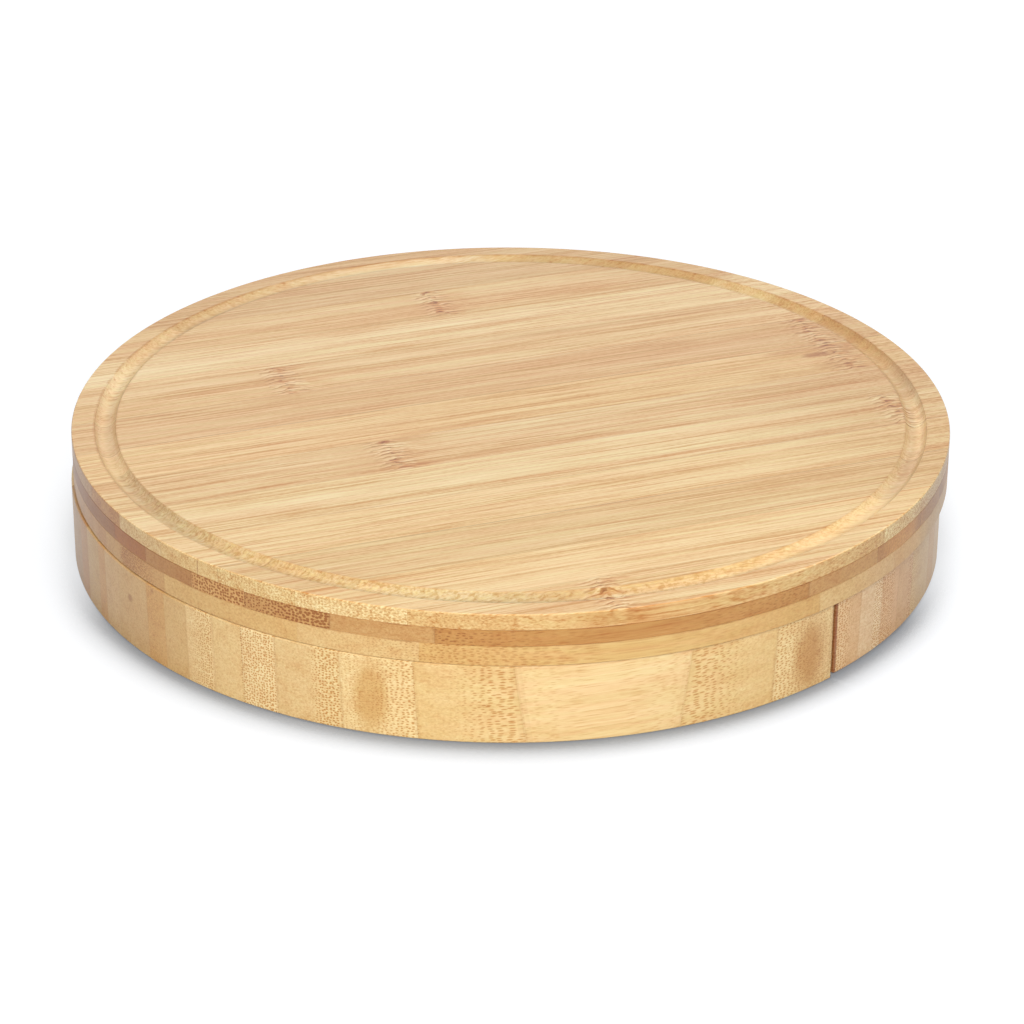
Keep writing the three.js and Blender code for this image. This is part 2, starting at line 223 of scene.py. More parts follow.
def share(look, across):
    # where a ramp holds this distance across the grain; a bend below 1 gives the high side more of the ramp
    low, high, bend = look["range"]
    return 1 - (min(max(high - across, 0), high - low) / (high - low)) ** bend


def stepShare(look, across):
    # ramps are stored in steps, so a stop half a step early keeps the edge in its place on average
    return max(share(look, across) - 0.5 / rampSteps, 0)


def stripRamps(look):
    level = 0.5
    tones, knuckles = [], []
    for edge, colour, line, *knuckle in look["strips"]:
        level += line * 0.5 if level < 0.5 else -line * 0.5
        start = stepShare(look, edge)
        tones.append((start, linear(*colour, level)))
        knuckles.append((start, (knuckle[0] + knuckleSpan) / (2 * knuckleSpan) if knuckle else 0))
    return tones, knuckles


def bambooMaterial(name, look):
    material, tree = newMaterial(name)
    coords = put("ShaderNodeTexCoord", tree=tree).outputs
    place = inMillimetres(Value(coords["Object"]), look["grain"])
    along, across, height = parts(place)
    normal = parts(give("ShaderNodeMapping", {"Vector": Value(coords["Normal"]),
                                              "Rotation": (0, 0, -math.radians(look["grain"]))},
                        vector_type="NORMAL"))
    endCut = fade(abs(normal[0]), 0.08, 0.5)
    upright = fade(abs(normal[2]), 0.85, 0.3)

    # the strips' edges lean a little with the height
    low, high, bend = look["range"]
    leaned = scaled(height - look["top"], look.get("lean", 0.0), across)

    def position(shift=0.0):
        return 1.0 - most(scaled(leaned, -1 / (high - low), (high - shift) / (high - low)), 0.0) ** bend

    here = position()
    tones, knuckles = stripRamps(look)
    strip = ramp(here, tones, "CONSTANT")
    seed = give("ShaderNodeTexWhiteNoise", {"Vector": strip}, "Value")

    def cloudy(alongRate, acrossRate, third, *kind):
        return noise(vector(along * alongRate, across * acrossRate, third), *kind)

    # fibres wander a little, and each strip has its own piece of the figure
    wander = cloudy(0.018, 0.03, seed, 1.0)
    weave = (cloudy(0.11, 0.35, height * 0.35, 1.0) - 0.5) * look["weave"]
    slope = scaled(seed - 0.5, look["slope"][1], look["slope"][0])
    fibreAlong = scaled(seed, 900.0, along)
    fibreUp = height + along * slope + seed * 77.0 + weave
    fibreAcross = across + (wander - 0.5) * look["wander"] + weave

    def fibres(alongRate, acrossRate, detail, roughness=0.5):
        return noise(vector(fibreAlong * alongRate, fibreAcross * acrossRate, fibreUp * acrossRate), detail, roughness)

    broad = fibres(0.006, 0.17, 2.0)
    medium = fibres(0.02, 0.8, 3.0, 0.6)
    fine = fibres(0.035, 2.6, 1.0)
    threads = fibres(0.006, 1.3, 2.0, 0.45)
    flecks = fibres(0.5, 2.6, 2.0, 0.6) - 0.5
    if "rough" in look:
        flecks = flecks * fade(along, *look["rough"], 1.0, 2.2)
    warmth = fade(fibres(0.008, 0.5, 2.0), 0.35, 0.65)
    mottle = cloudy(0.09, 0.3, height * 0.3)

    # a routed groove crosses the figure, torn where the cutter ran against the fibres; painted shade and light on its
    # walls follow
    groove = look.get("groove")
    calm = 1.0
    if groove:
        inner, outer = groove["edges"]
        radius = vectorCalc("LENGTH", vector(along, across))
        routed = fade(radius, inner - 0.2, inner + 0.5) * fade(radius, outer + 0.2, outer - 0.5)
        flat = 1.0 - routed
        endCut, upright, calm = endCut * flat, upright * flat, fade(flat, 0.0, 1.0, 0.6, 1.0)

    # lightness of the figure, from dark to pale about its middle
    figure = ((broad - 0.5) * look["broad"] + (medium - 0.5) * look["medium"] + (fine - 0.5) * look["fine"]
              + flecks * look["flecks"] + (mottle - 0.5) * look["mottle"]
              + fade(threads, 0.57, 0.7) * -look["threads"]
              + fade(threads, 0.42, 0.3) * (look["threads"] * 0.8)) * calm
    colour = stain(strip, stains["darkFibre"], most(figure * -1.0, 0.0))
    colour = stain(colour, stains["paleFibre"], most(figure, 0.0))
    colour = tint(colour, tint((1.015, 0.985, 1.01, 1), (0.99, 1.012, 0.99, 1), warmth),
                  fade(endCut, 0.0, 1.0, 1.0, 0.3), "MULTIPLY")

    # sawn ends soak up more oil and are rougher; upright faces show more of the wood's own yellow
    sand = cloudy(1.1, 1.9, height * 1.9, 2.0, 0.7)
    colour = stain(colour, look["endTint"], endCut)
    if "sideTints" in look:
        levels = [(stepShare(look, at), (*value, 1)) for at, value in look["sideTints"]]
        colour = tint(colour, ramp(here, levels, "CONSTANT"), upright, "MULTIPLY")
    colour = stain(colour, stains["darkPore"], endCut * fade(sand, 0.52, 0.3) * 0.5)
    colour = stain(colour, stains["palePore"], endCut * fade(sand, 0.5, 0.72) * 0.5)

    # vascular bundles: long rods through the strip, dots where they are cut across
    sizes = look["bundles"]
    rods = give("ShaderNodeTexVoronoi", {
        "Vector": vector((fibreAcross - weave * 0.7) * (1 / sizes["pitch"]),
                         (fibreUp - weave * 0.7) * (1 / sizes["rise"])),
        "Scale": 1.0, "Randomness": 0.62}, "Distance", voronoi_dimensions="2D")
    crowd = ramp(here, [(share(look, at), amount) for at, amount in look["crowding"]])
    bundle = (fade(rods - crowd * sizes["size"], 0.1, -0.1)
              * scaled(endCut, 1.0 - sizes["alongFace"], sizes["alongFace"])
              * fade(crowd, 0.05, 0.7) * fade(sand, 0.2, 0.5, 0.55, 1.0))
    crowded = fade(crowd, 0.3, 1.0) * endCut
    if "calmEnd" in look:
        clear = fade(along, *look["calmEnd"], 0.2, 1.0)
        bundle, crowded = bundle * clear, crowded * clear
    colour = stain(colour, sizes["ground"], crowded)
    colour = stain(colour, sizes["tint"], bundle * sizes["strength"])

    # knuckles: pale strokes stacked like fishbones with brown undersides, a broken line, and feathering
    # to both sides
    knuckle = ramp(here, knuckles, "CONSTANT")
    marked = scaled(knuckle, 2 * knuckleSpan, -knuckleSpan)
    ragged = cloudy(0.05, 0.3, seed, 3.0, 0.6)
    offset = along + marked * -1.0 + scaled(ragged, knuckleShape["ragged"], knuckleShape["ragged"] / -2)
    aside = abs(offset)
    onFace = fade(upright, 0.0, 1.0, 1.0, 0.15)
    near = fade(aside, *knuckleShape["strokes"]) * onFace
    sway = cloudy(0.18, 0.4, scaled(height, 0.3, seed))

    def strokes(shift, fromLevel, toLevel):
        phase = (scaled(aside, knuckleShape["lean"], across) * (tau / knuckleShape["spacing"])
                 + sway * knuckleShape["sway"] + shift)
        return fade(scaled(calc("SINE", phase), 0.5, 0.5), fromLevel, toLevel)

    cream = strokes(0.0, 0.5, 0.8)
    shade = most(strokes(1.7, 0.5, 0.8) - cream, 0.0)
    cloud = cloudy(0.09, 0.3, seed, 3.0, 0.6, 0.4)
    after = fade(offset, *knuckleShape["after"]) * fade(offset, -0.6, 1.2) * fade(cloud, 0.42, 0.56)
    before = fade(offset, *knuckleShape["before"]) * fade(offset, 0.6, -0.9) * fade(fine, 0.46, 0.6)
    spots = fade(aside, *knuckleShape["spots"]) * fade(cloud, 0.5, 0.56) * onFace
    ticks = fade(aside, *knuckleShape["ticks"]) * strokes(2.4, 0.75, 0.95) * onFace
    for stainName, amount in (("afterKnuckle", after * 0.85), ("beforeKnuckle", before * 0.6),
                              ("cream", near * cream * 0.95), ("shade", near * shade * 0.85),
                              ("spot", spots * 0.7), ("tick", ticks * 0.7)):
        colour = stain(colour, stains[stainName], amount)

    # single marks: (along, across, height), their half sizes, a colour to multiply by, and how strong
    for centre, reach, stainColour, strength in look["marks"]:
        away = vectorCalc("LENGTH", vectorCalc("DIVIDE", vectorCalc("SUBTRACT", place, centre), reach))
        colour = stain(colour, stainColour, fade(away + cloud * 0.5 + sand * 0.4, 1.7, 0.95, 0.0, strength))

    # glue lines: where the strips' level steps within a hair of here
    def stepNear(reach):
        ahead, behind = (ramp(position(side * reach / 2), tones, "CONSTANT", "Alpha") for side in (-1, 1))
        return abs(ahead - behind) * 2.0

    hairline = stepNear(glueLines["hair"])
    broken = fade(cloudy(0.02, 0.05, 0.0), 0.3, 0.6, 0.45, 1.0)
    line = (hairline * 0.6 + stepNear(glueLines["wide"]) * 0.35) * broken * look["lines"][0]
    colour = stain(colour, look["lineTint"], line * fade(endCut, 0.0, 1.0, 1.0, look["lines"][1]))

    if groove:
        heading = scaled(calc("ARCTAN2", across, along), 1 / tau, 0.5)

        def allRound(name, gain=1.0):
            return ramp(heading, [(degrees / 360 + 0.5, amount * gain) for degrees, amount in groove[name]])

        crumbs = cloudy(0.55, 1.1, height * 1.1, 2.0, 0.6)
        inwards = fade(radius, 121.6, 119.2)
        torn = allRound("torn") * routed * scaled(inwards, 0.75, 0.25)
        # painted shade and light: each wall is made darker or lighter by its heading, darker where it faces away from
        # the light; a ramp holds no more than 1, so the gains are kept by half
        innerTone, outerTone = allRound("innerWall", 0.5), allRound("outerWall", 0.5)
        paintedWallShading = tint(outerTone, innerTone, inwards) * 2.0
        # the whole groove is darker, partly painted shade of the hollow and partly oil soaked into its cut fibres
        colour = stain(colour, stains["routed"], routed)
        colour = tint(colour, paintedWallShading, routed, "MULTIPLY")
        # paler and greyer at some headings
        colour = stain(colour, stains["paler"], routed * allRound("paler"))
        # warmer where the outer wall's painted shade is deep
        colour = stain(colour, stains["paintedShadeWarmth"], routed * (1.0 - inwards) * fade(outerTone, 0.49, 0.42))
        colour = stain(colour, stains["torn"], torn * fade(crumbs, 0.48, 0.38) * 0.8)
        colour = stain(colour, stains["crumb"], torn * fade(crumbs, 0.52, 0.62) * 0.7)
        # dark lines along both edges, stronger towards the back: painted shade at the groove's edges
        for lip, strength in ((inner, 0.35), (outer, fade(across, -60.0, 30.0, 0.1, 0.75))):
            lipLine = fade(abs(radius - lip), 0.5, 0.1)
            colour = stain(colour, stains["lip"], lipLine * strength * fade(mottle, 0.3, 0.6))

    # seams above and below a ply, darkened here and there by glue
    if "seams" in look:
        lower, upper = look["seams"]
        edge = least(height - lower, upper - height)
        uneven = cloudy(0.06, 0.06, 3.0, 3.0)
        colour = stain(colour, stains["glue"],
                       fade(edge, *glueLines["seam"]) * upright * fade(uneven, 0.45, 0.66, 0.08, 0.7))

    polish = (medium - 0.5) * 0.2 + look["roughness"] + bundle * 0.08 + endCut * 0.05
    relief = (fine * 0.006 + medium * 0.01 + bundle * -0.03 + hairline * -0.03 + near * cream * 0.03
              + endCut * sand * 0.03)
    surface(give("ShaderNodeBsdfPrincipled", {
        "Base Color": colour, "Roughness": polish, "Normal": bump(relief, 0.8), "IOR": 1.5,
        "Coat Weight": 0.3, "Coat Roughness": 0.22, "Coat IOR": 1.5}))
    return material


# Each look has the grain's direction, the range and bend of its ramps across the grain, the height at which the
# strips are measured, and the strength of each layer of the figure. The strips, the bundles with the places where
# they crowd, and the stains of its ends, glue lines, sides, groove and single marks come after.
topLook = {
    "grain": 20.5, "range": (-131, 131, 1), "top": 40, "wander": 1.6, "weave": 0.2, "slope": (0.0, 0.01),
    "broad": 2.05, "medium": 1.5, "fine": 2.8, "threads": 0.65, "flecks": 1.4, "mottle": 0.35,
    "rough": (88, 108),
    "strips": [
        (-150, (241, 203, 144), 0.3, -17), (-110, (244, 206, 146), 0.2), (-89.5, (233, 195, 136), 0.2),
        (-69, (242, 205, 146), 0.8), (-48.5, (242, 207, 150), 0.5, 108), (-28, (236, 197, 141), 0.3, -43),
        (-7.5, (240, 200, 141), 0.3, 109), (13, (233, 191, 135), 0.7, 109), (33.5, (238, 198, 141), 0.4, -57),
        (54, (246, 211, 155), 0.2), (74.5, (238, 197, 139), 0.2, 6), (95, (229, 187, 131), 0.2)],
    "bundles": {"pitch": 0.75, "rise": 0.75, "size": 0.36, "alongFace": 0.1, "strength": 0.6,
                "tint": (0.68, 0.46, 0.27), "ground": (1.02, 1.03, 1.03)},
    "crowding": [(-131, 0.4), (-112, 0.4), (-109, 0.9), (-92, 0.85), (-70, 0.7), (-66, 0.3), (-20, 0.3),
                 (60, 0.4)],
    "endTint": (1.0, 1.0, 1.0), "lineTint": (0.5, 0.33, 0.22), "lines": (1.0, 0.35),
    "sideTints": [(-150, (0.78, 0.73, 0.615)), (-110, (0.87, 0.93, 0.94)), (-89.5, (0.925, 0.98, 0.96)),
                  (-69, (0.81, 0.775, 0.665)), (-48.5, (0.785, 0.735, 0.64)), (-28, (0.62, 0.44, 0.26)),
                  (-7.5, (0.58, 0.465, 0.365))],
    "groove": {
        "edges": (116.8, 123.4),
        "torn": [(-180, 0.9), (-165, 1.0), (-85, 0.9), (-70, 0.3), (-45, 0.1), (-12, 0.2), (0, 0.9), (38, 0.9),
                 (50, 0.3), (95, 0.4), (105, 0.9), (150, 0.9), (158, 0.2), (172, 0.2)],
        # the wall tones by heading are painted shade and light
        "innerWall": [(-180, 0.87), (-163, 0.74), (-140, 0.94), (-110, 0.73), (-82, 0.97), (-60, 1.08), (0, 1.05),
                      (30, 1.12), (60, 1.04), (88, 0.75), (103, 0.58), (120, 0.7), (138, 1.0), (160, 1.03)],
        "outerWall": [(-180, 1.1), (-130, 1.11), (-105, 1.09), (-86, 1.04), (-55, 1.24), (-22, 1.38), (-10, 0.95),
                      (10, 0.83), (66, 0.75), (80, 1.05), (105, 0.97), (125, 0.94), (155, 1.16)],
        "paler": [(-180, 0.2), (-160, 0.0), (-138, 0.0), (-120, 0.5), (-105, 0.25), (-85, 0.05), (-60, 0.1),
                  (-40, 0.4), (10, 0.2), (30, 0.5), (45, 0.75), (60, 0.95), (90, 0.95), (108, 0.4), (135, 0.2)]},
    "marks": [((103, 6.5, 40), (5, 2.0, 30), (0.66, 0.46, 0.37), 0.8),
              ((101, 11.3, 40), (16, 2.2, 30), (0.80, 0.64, 0.53), 0.6),
              ((106, -2.6, 40), (8, 2.6, 30), (0.80, 0.64, 0.52), 0.6),
              ((112, 7, 40), (8, 6, 30), (0.88, 0.79, 0.73), 0.6),
              ((96, 1.5, 40), (8, 3.4, 30), (1.05, 1.07, 1.1), 0.6),
              # painted shade: the next two broad marks darken the top towards its right end and its back right
              ((134, -36, 40), (72, 66, 30), (0.89, 0.84, 0.79), 0.95),
              ((118, 92, 40), (56, 24, 30), (0.89, 0.845, 0.80), 0.95),
              # painted shade at the right end of the top ply's side
              ((105, -84, 36.9), (30, 24, 2.5), (0.84, 0.78, 0.84), 0.8),
              ((60, 50.5, 40), (55, 2.0, 30), (0.82, 0.68, 0.57), 0.6),
              ((66, 24, 40), (42, 7, 30), (0.92, 0.85, 0.80), 0.6),
              ((-114.3, -62, 37.5), (2.6, 0.3, 4), (0.6, 0.42, 0.32), 0.7)],
    "seams": (35.2, 60), "roughness": 0.42}

coreLook = {
    "grain": 195, "range": (-131, 131, 0.5), "top": 35, "wander": 1.6, "weave": 0.5, "slope": (0.02, 0.02),
    "broad": 0.9, "medium": 0.9, "fine": 0.8, "threads": 0.4, "flecks": 0.4, "mottle": 0.7,
    "strips": [
        (-150, (163, 111, 61), 0.4), (36, (171, 110, 53), 0.4), (53, (184, 133, 76), 0.4),
        (70.4, (198, 147, 88), 0.5), (86.3, (187, 136, 79), 0.6), (104, (201, 156, 97), 0.6),
        (118.9, (190, 138, 75), 0.5)],
    "bundles": {"pitch": 0.76, "rise": 0.88, "size": 0.42, "alongFace": 0.4, "strength": 0.9,
                "tint": (0.48, 0.27, 0.13), "ground": (1.2, 1.36, 1.46)},
    "crowding": [(-131, 0.3), (60, 0.2), (70, 0.3), (72, 0.85), (85, 0.95), (87, 0.6), (95, 0.85), (103.5, 1.1),
                 (104.5, 0.05), (117, 0.2), (120, 0.55), (128, 0.4)],
    "endTint": (0.94, 0.90, 0.86), "lineTint": (0.5, 0.35, 0.25), "lines": (0.8, 1.0),
    "marks": [((-88, 95, 33), (12, 8, 30), (1.32, 1.34, 1.24), 0.8),
              # painted shade at the right end of the ply's side
              ((-106, 76, 33), (18, 14, 30), (0.70, 0.68, 0.78), 0.85)],
    "calmEnd": (-80, -20), "seams": (30.4, 35.2), "roughness": 0.46}

underLook = {
    "grain": 195, "range": (-131, 131, 0.5), "top": 30, "wander": 1.6, "weave": 0.5, "slope": (0.02, 0.02),
    "broad": 0.8, "medium": 0.8, "fine": 0.7, "threads": 0.3, "flecks": 0.4, "mottle": 0.6,
    "strips": [
        (-150, (199, 151, 97), 0.4), (30, (204, 160, 102), 0.4), (39.5, (205, 160, 102), 0.4),
        (60, (217, 178, 117), 0.4), (82, (218, 180, 119), 0.4), (98, (222, 188, 131), 0.5),
        (117, (216, 176, 112), 0.3)],
    "bundles": {"pitch": 0.66, "rise": 0.78, "size": 0.36, "alongFace": 0.5, "strength": 0.75,
                "tint": (0.66, 0.44, 0.27), "ground": (1.0, 1.0, 1.0)},
    "crowding": [(-131, 0.3), (38.5, 0.2), (40, 1.1), (49, 1.05), (57, 0.4), (61, 0.2), (96, 0.2), (112, 0.5),
                 (126, 0.8)],
    "endTint": (0.97, 0.93, 0.86), "lineTint": (0.6, 0.42, 0.3), "lines": (0.35, 1.0),
    # the first mark is painted shade at the right end of the ply's side
    "marks": [((-108, 72, 27), (20, 16, 30), (0.80, 0.80, 0.92), 0.85),
              ((-85, 98, 27), (25, 14, 30), (0.96, 0.9, 0.94), 0.8),
              ((120, 44, 27), (30, 4, 30), (0.86, 0.78, 0.74), 0.6)],
    "calmEnd": (-55, 20), "seams": (24.5, 30.4), "roughness": 0.44}

baseStaves = [
    (-150, (218, 178, 126), 0.4), (-123, (228, 194, 138), 0.4), (-100, (219, 180, 124), 0.5),
    (-77, (230, 198, 143), 0.4), (-54, (223, 186, 130), 0.4), (-31, (231, 201, 146), 0.4),
    (-8, (187, 144, 90), 0.4), (11.6, (194, 143, 84), 0.3), (20.5, (209, 170, 112), 0.3),
    (30.5, (210, 162, 101), 0.2), (36, (217, 180, 128), 0.2), (43.5, (213, 175, 121), 0.5),
    (58.8, (213, 168, 107), 0.5), (66.2, (217, 180, 123), 0.4)]
trayLook = {
    "grain": 192, "range": (-131, 130, 0.5), "top": 24, "lean": 0.025, "wander": 1.2, "weave": 0.9,
    "slope": (0.07, 0.03), "broad": 0.8, "medium": 0.8, "fine": 0.8, "threads": 0.25, "flecks": 0.4, "mottle": 0.5,
    "strips": baseStaves + [
        (73.6, (232, 200, 146), 0.4), (81.6, (230, 198, 142), 0.5), (89.0, (234, 205, 154), 0.6),
        (97.0, (226, 195, 141), 0.9), (108.6, (232, 203, 149), 0.5), (118.5, (226, 193, 134), 0.6),
        (126.3, (232, 200, 144), 0.5)],
    "bundles": {"pitch": 0.6, "rise": 0.74, "size": 0.36, "alongFace": 0.75, "strength": 1.0,
                "tint": (0.68, 0.43, 0.22), "ground": (1.08, 1.16, 1.22)},
    "crowding": [(-131, 0.3), (26, 0.35), (57, 0.3), (60, 0.5), (67, 0.2), (73, 0.3), (77, 0.6), (81.4, 0.95),
                 (81.8, 0.1), (88.5, 0.15), (89.3, 0.8), (96.8, 0.9), (97.3, 0.1), (103.5, 0.35), (105.5, 0.85),
                 (108.4, 0.85), (108.8, 0.45), (111, 0.55), (112, 0.35), (115, 0.6), (118.3, 0.75), (118.7, 0.1),
                 (121, 0.3), (126.0, 0.85), (126.5, 0.42)],
    "endTint": (0.98, 0.94, 0.86), "lineTint": (0.6, 0.42, 0.28), "lines": (0.55, 1.0),
    "marks": [((0, 113.3, 11.5), (400, 2.7, 10.5), (0.80, 0.66, 0.47), 0.9),
              ((-62, 113, 11), (10, 4, 14), (0.84, 0.72, 0.64), 0.9),
              # a paler band along the top edge of the tray's face, partly a sanded arris and partly a painted
              # highlight
              ((0, 121.2, 24), (400, 2.0, 4), (1.06, 1.1, 1.18), 0.8),
              # painted shade deep in the saw cut, on the tray's side of it
              ((-68.8, 108.05, 12), (0.7, 0.7, 60), (0.36, 0.2, 0.1), 0.7),
              ((120, 50.4, 15.5), (2, 1.3, 1.3), (0.60, 0.42, 0.32), 0.8),
              ((114, 61, 22.5), (2, 0.8, 0.9), (0.62, 0.44, 0.34), 0.7)],
    "roughness": 0.42}

blockLook = dict(trayLook, strips=baseStaves + [
    (79, (216, 173, 123), 0.5), (86.6, (222, 179, 131), 0.6), (93.9, (233, 202, 160), 0.5),
    (101.4, (226, 188, 141), 0.4), (109.2, (228, 190, 140), 0.4)],
    marks=[((-88, 84, 16), (2, 1.5, 3), (0.86, 0.68, 0.60), 0.7),
           ((-88, 84, 4), (2, 1.8, 3), (0.86, 0.70, 0.60), 0.7),
           # painted shade at the right end of the block's side
           ((-110, 68, 12), (14, 14, 60), (0.92, 0.93, 0.97), 0.9),
           # painted shade deep in the saw cut, on the block's side of it
           ((-69.2, 107.8, 12), (0.85, 0.85, 60), (0.30, 0.155, 0.075), 0.95)])

handleLook = {
    "grain": cutDegrees, "range": (-131, 131, 1), "top": 16, "wander": 0.8, "weave": 0.3, "slope": (0.0, 0.02),
    "broad": 1.8, "medium": 1.9, "fine": 1.5, "threads": 0.7, "flecks": 0.7, "mottle": 0.3,
    "strips": [(-150, (226, 190, 138), 0.0), (-92.4, (232, 198, 146), 0.0), (-69, (222, 184, 130), 0.0),
               (-45, (229, 193, 140), 0.0)],
    "bundles": {"pitch": 0.9, "rise": 0.9, "size": 0.32, "alongFace": 0.3, "strength": 0.6,
                "tint": (0.62, 0.44, 0.29), "ground": (1.0, 1.0, 1.0)},
    "crowding": [(-131, 0.6), (131, 0.6)],
    "endTint": (0.93, 0.85, 0.74), "lineTint": (0.5, 0.33, 0.22), "lines": (0.0, 1.0),
    "marks": [], "roughness": 0.4}

topBamboo = bambooMaterial("top bamboo", topLook)
coreBamboo = bambooMaterial("caramelised bamboo", coreLook)
underBamboo = bambooMaterial("under bamboo", underLook)
trayBamboo = bambooMaterial("tray staves", trayLook)
blockBamboo = bambooMaterial("block staves", blockLook)
handleBamboo = bambooMaterial("handle bamboo", handleLook)
print("bamboo materials made")


def metalMaterial(name, degrees, rateX, rateY, colour, dark, roughness):
    # brushed or turned metal: fine scratches along one direction, and faint smears
    material, tree = newMaterial(name)
    x, y, z = parts(inMillimetres(give("ShaderNodeTexCoord", output="Object", tree=tree), degrees))
    brushed = noise(vector(x * rateX, y * rateY, z * rateY), 3.0, 0.7)
    smears = noise(vector(x * 0.08, y * 0.08, z * 0.08), 3.0, 0.6)
    shown = tint(linear(*dark), linear(*colour), fade(brushed * 0.7 + smears * 0.3, 0.3, 0.6))
    gloss = (brushed - 0.5) * 0.18 + roughness + (smears - 0.5) * 0.12
    surface(give("ShaderNodeBsdfPrincipled", {"Base Color": shown, "Metallic": 1.0, "Roughness": gloss,
                                              "Normal": bump(brushed * 0.004, 0.5)}))
    return material


def mouldedMaterial(name, pebbles, colour, dust, roughness):
    # moulded rubber or nylon: a fine pebbled skin, a little dusty or yellowed in places
    material, tree = newMaterial(name)
    place = give("ShaderNodeTexCoord", output="Object", tree=tree)
    skin = noise(place, 3.0, 0.6, 0.0, pebbles)
    cloud = noise(place, 3.0, 0.5, 0.3, 90.0)
    surface(give("ShaderNodeBsdfPrincipled", {
        "Base Color": tint(linear(*colour), linear(*dust), fade(cloud, 0.4, 0.7, 0.0, 0.8)),
        "Roughness": scaled(skin - 0.5, 0.2, roughness), "Normal": bump(skin * 0.03, 0.6)}))
    return material


bladeSteel = metalMaterial("brushed blade steel", cutDegrees + 90, 0.25, 14.0, (206, 207, 209), (184, 185, 188), 0.27)
ferruleSteel = metalMaterial("drawn ferrule steel", cutDegrees, 0.3, 9.0, (203, 204, 206), (160, 161, 164), 0.22)
screwSteel = metalMaterial("zinc plated screw", 0, 1.6, 1.6, (196, 198, 202), (142, 146, 152), 0.34)
insertBrass = metalMaterial("machined brass", 0, 3.0, 3.0, (205, 176, 104), (166, 132, 66), 0.32)
magnetNickel = metalMaterial("nickel plating", 0, 2.2, 2.2, (212, 210, 204), (176, 173, 166), 0.2)
washerNylon = mouldedMaterial("natural nylon", 2600.0, (228, 224, 212), (206, 198, 180), 0.5)
footRubber = mouldedMaterial("black rubber", 2200.0, (34, 33, 33), (66, 63, 60), 0.72)
print("other materials made")


# outlines and rings are lists of points in millimetres

def arc(centreX, centreY, radius, fromDegrees, toDegrees, steps):
    points = []
    for i in range(steps + 1):
        angle = math.radians(fromDegrees + (toDegrees - fromDegrees) * i / steps)
        points.append((centreX + radius * math.cos(angle), centreY + radius * math.sin(angle)))
    return points


def outwards(outline, i):
    # the direction from before point i to after it, turned to point out of an outline listed anticlockwise
    before, after = outline[i - 1], outline[(i + 1) % len(outline)]
    return Vector((after[1] - before[1], before[0] - after[0])).normalized()


def inset(outline, depths):
    # moves a closed outline, listed anticlockwise, inwards by one depth or by one for each point
    count = len(outline)
    if not isinstance(depths, list):
        depths = [depths] * count
    result = []
    for i, (x, y) in enumerate(outline):
        before, after = outline[i - 1], outline[(i + 1) % count]
        first = Vector((x - before[0], y - before[1])).normalized()
        second = Vector((after[0] - x, after[1] - y)).normalized()
        normal = Vector((-first.y - second.y, first.x + second.x))
        normal /= max(normal.length_squared / 2, 0.25)
        result.append((x + normal.x * depths[i], y + normal.y * depths[i]))
    return result


def roundCorner(outline, index, radius, steps=5):
    # replaces one sharp point of a closed outline by a small arc
    corner = Vector(outline[index])
    before = (Vector(outline[index - 1]) - corner).normalized()
    after = (Vector(outline[(index + 1) % len(outline)]) - corner).normalized()
    half = before.angle(after) / 2
    reach = radius / math.tan(half)
    centre = corner + (before + after).normalized() * (radius / math.sin(half))
    start, end = corner + before * reach - centre, corner + after * reach - centre
    points = []
    for i in range(steps + 1):
        between = start.slerp(end, i / steps) if i not in (0, steps) else (start if i == 0 else end)
        points.append(tuple(centre + between.normalized() * radius))
    return outline[:index] + points + outline[index + 1:]


def roundedRectangle(width, height, corner, x=0.0, y=0.0, steps=10):
    dx, dy = width / 2 - corner, height / 2 - corner
    return [point for i, (signX, signY) in enumerate(((1, 1), (-1, 1), (-1, -1), (1, -1)))
            for point in arc(x + signX * dx, y + signY * dy, corner, 90 * i, 90 * i + 90, steps)]


def atHeight(outline, z):
    return [(x, y, z) for x, y in outline]


def newObject(name, data):
    obj = bpy.data.objects.new(name, data)
    scene.collection.objects.link(obj)
    return obj


def clean(mesh):
    shape = bmesh.new()
    shape.from_mesh(mesh)
    bmesh.ops.remove_doubles(shape, verts=shape.verts, dist=2e-6)
    bmesh.ops.dissolve_degenerate(shape, edges=shape.edges, dist=1e-7)
    bmesh.ops.recalc_face_normals(shape, faces=shape.faces)
    shape.to_mesh(mesh)
    shape.free()


def loft(name, rings, capped=True):
    # skin over closed rings of equal count, listed one after another; rings may shrink to a point
    count = len(rings[0])
    points = [Vector(point) * mm for ring in rings for point in ring]
    faces = []
    for start in range(0, len(points) - count, count):
        for i in range(count):
            j = (i + 1) % count
            faces.append((start + i, start + j, start + count + j, start + count + i))
    if capped:
        faces.append(tuple(reversed(range(count))))
        faces.append(tuple(range(len(points) - count, len(points))))
    mesh = bpy.data.meshes.new(name)
    mesh.from_pydata(points, [], faces)
    clean(mesh)
    return newObject(name, mesh)


def quarterSteps(radius, steps):
    # across and up a quarter round, from its start to its end
    for i in range(steps + 1):
        angle = math.pi / 2 * i / steps
        yield radius * (1 - math.sin(angle)), radius * (1 - math.cos(angle))


def slab(name, outline, bottom, top, easing):
    # an outline raised from bottom to top, with both edges eased by quarter rounds
    rings = [atHeight(inset(outline, aside), bottom + up) for aside, up in quarterSteps(easing, 4)]
    rings += [atHeight(inset(outline, aside), top - up) for up, aside in quarterSteps(easing, 4)]
    return loft(name, rings)


def lathe(name, profile, x=0.0, y=0.0, steps=64):
    # profile of (radius, height) pairs that starts and ends on the axis
    rings = [[(x + radius * math.cos(tau * i / steps), y + radius * math.sin(tau * i / steps), height)
              for i in range(steps)] for radius, height in profile]
    return loft(name, rings, capped=False)


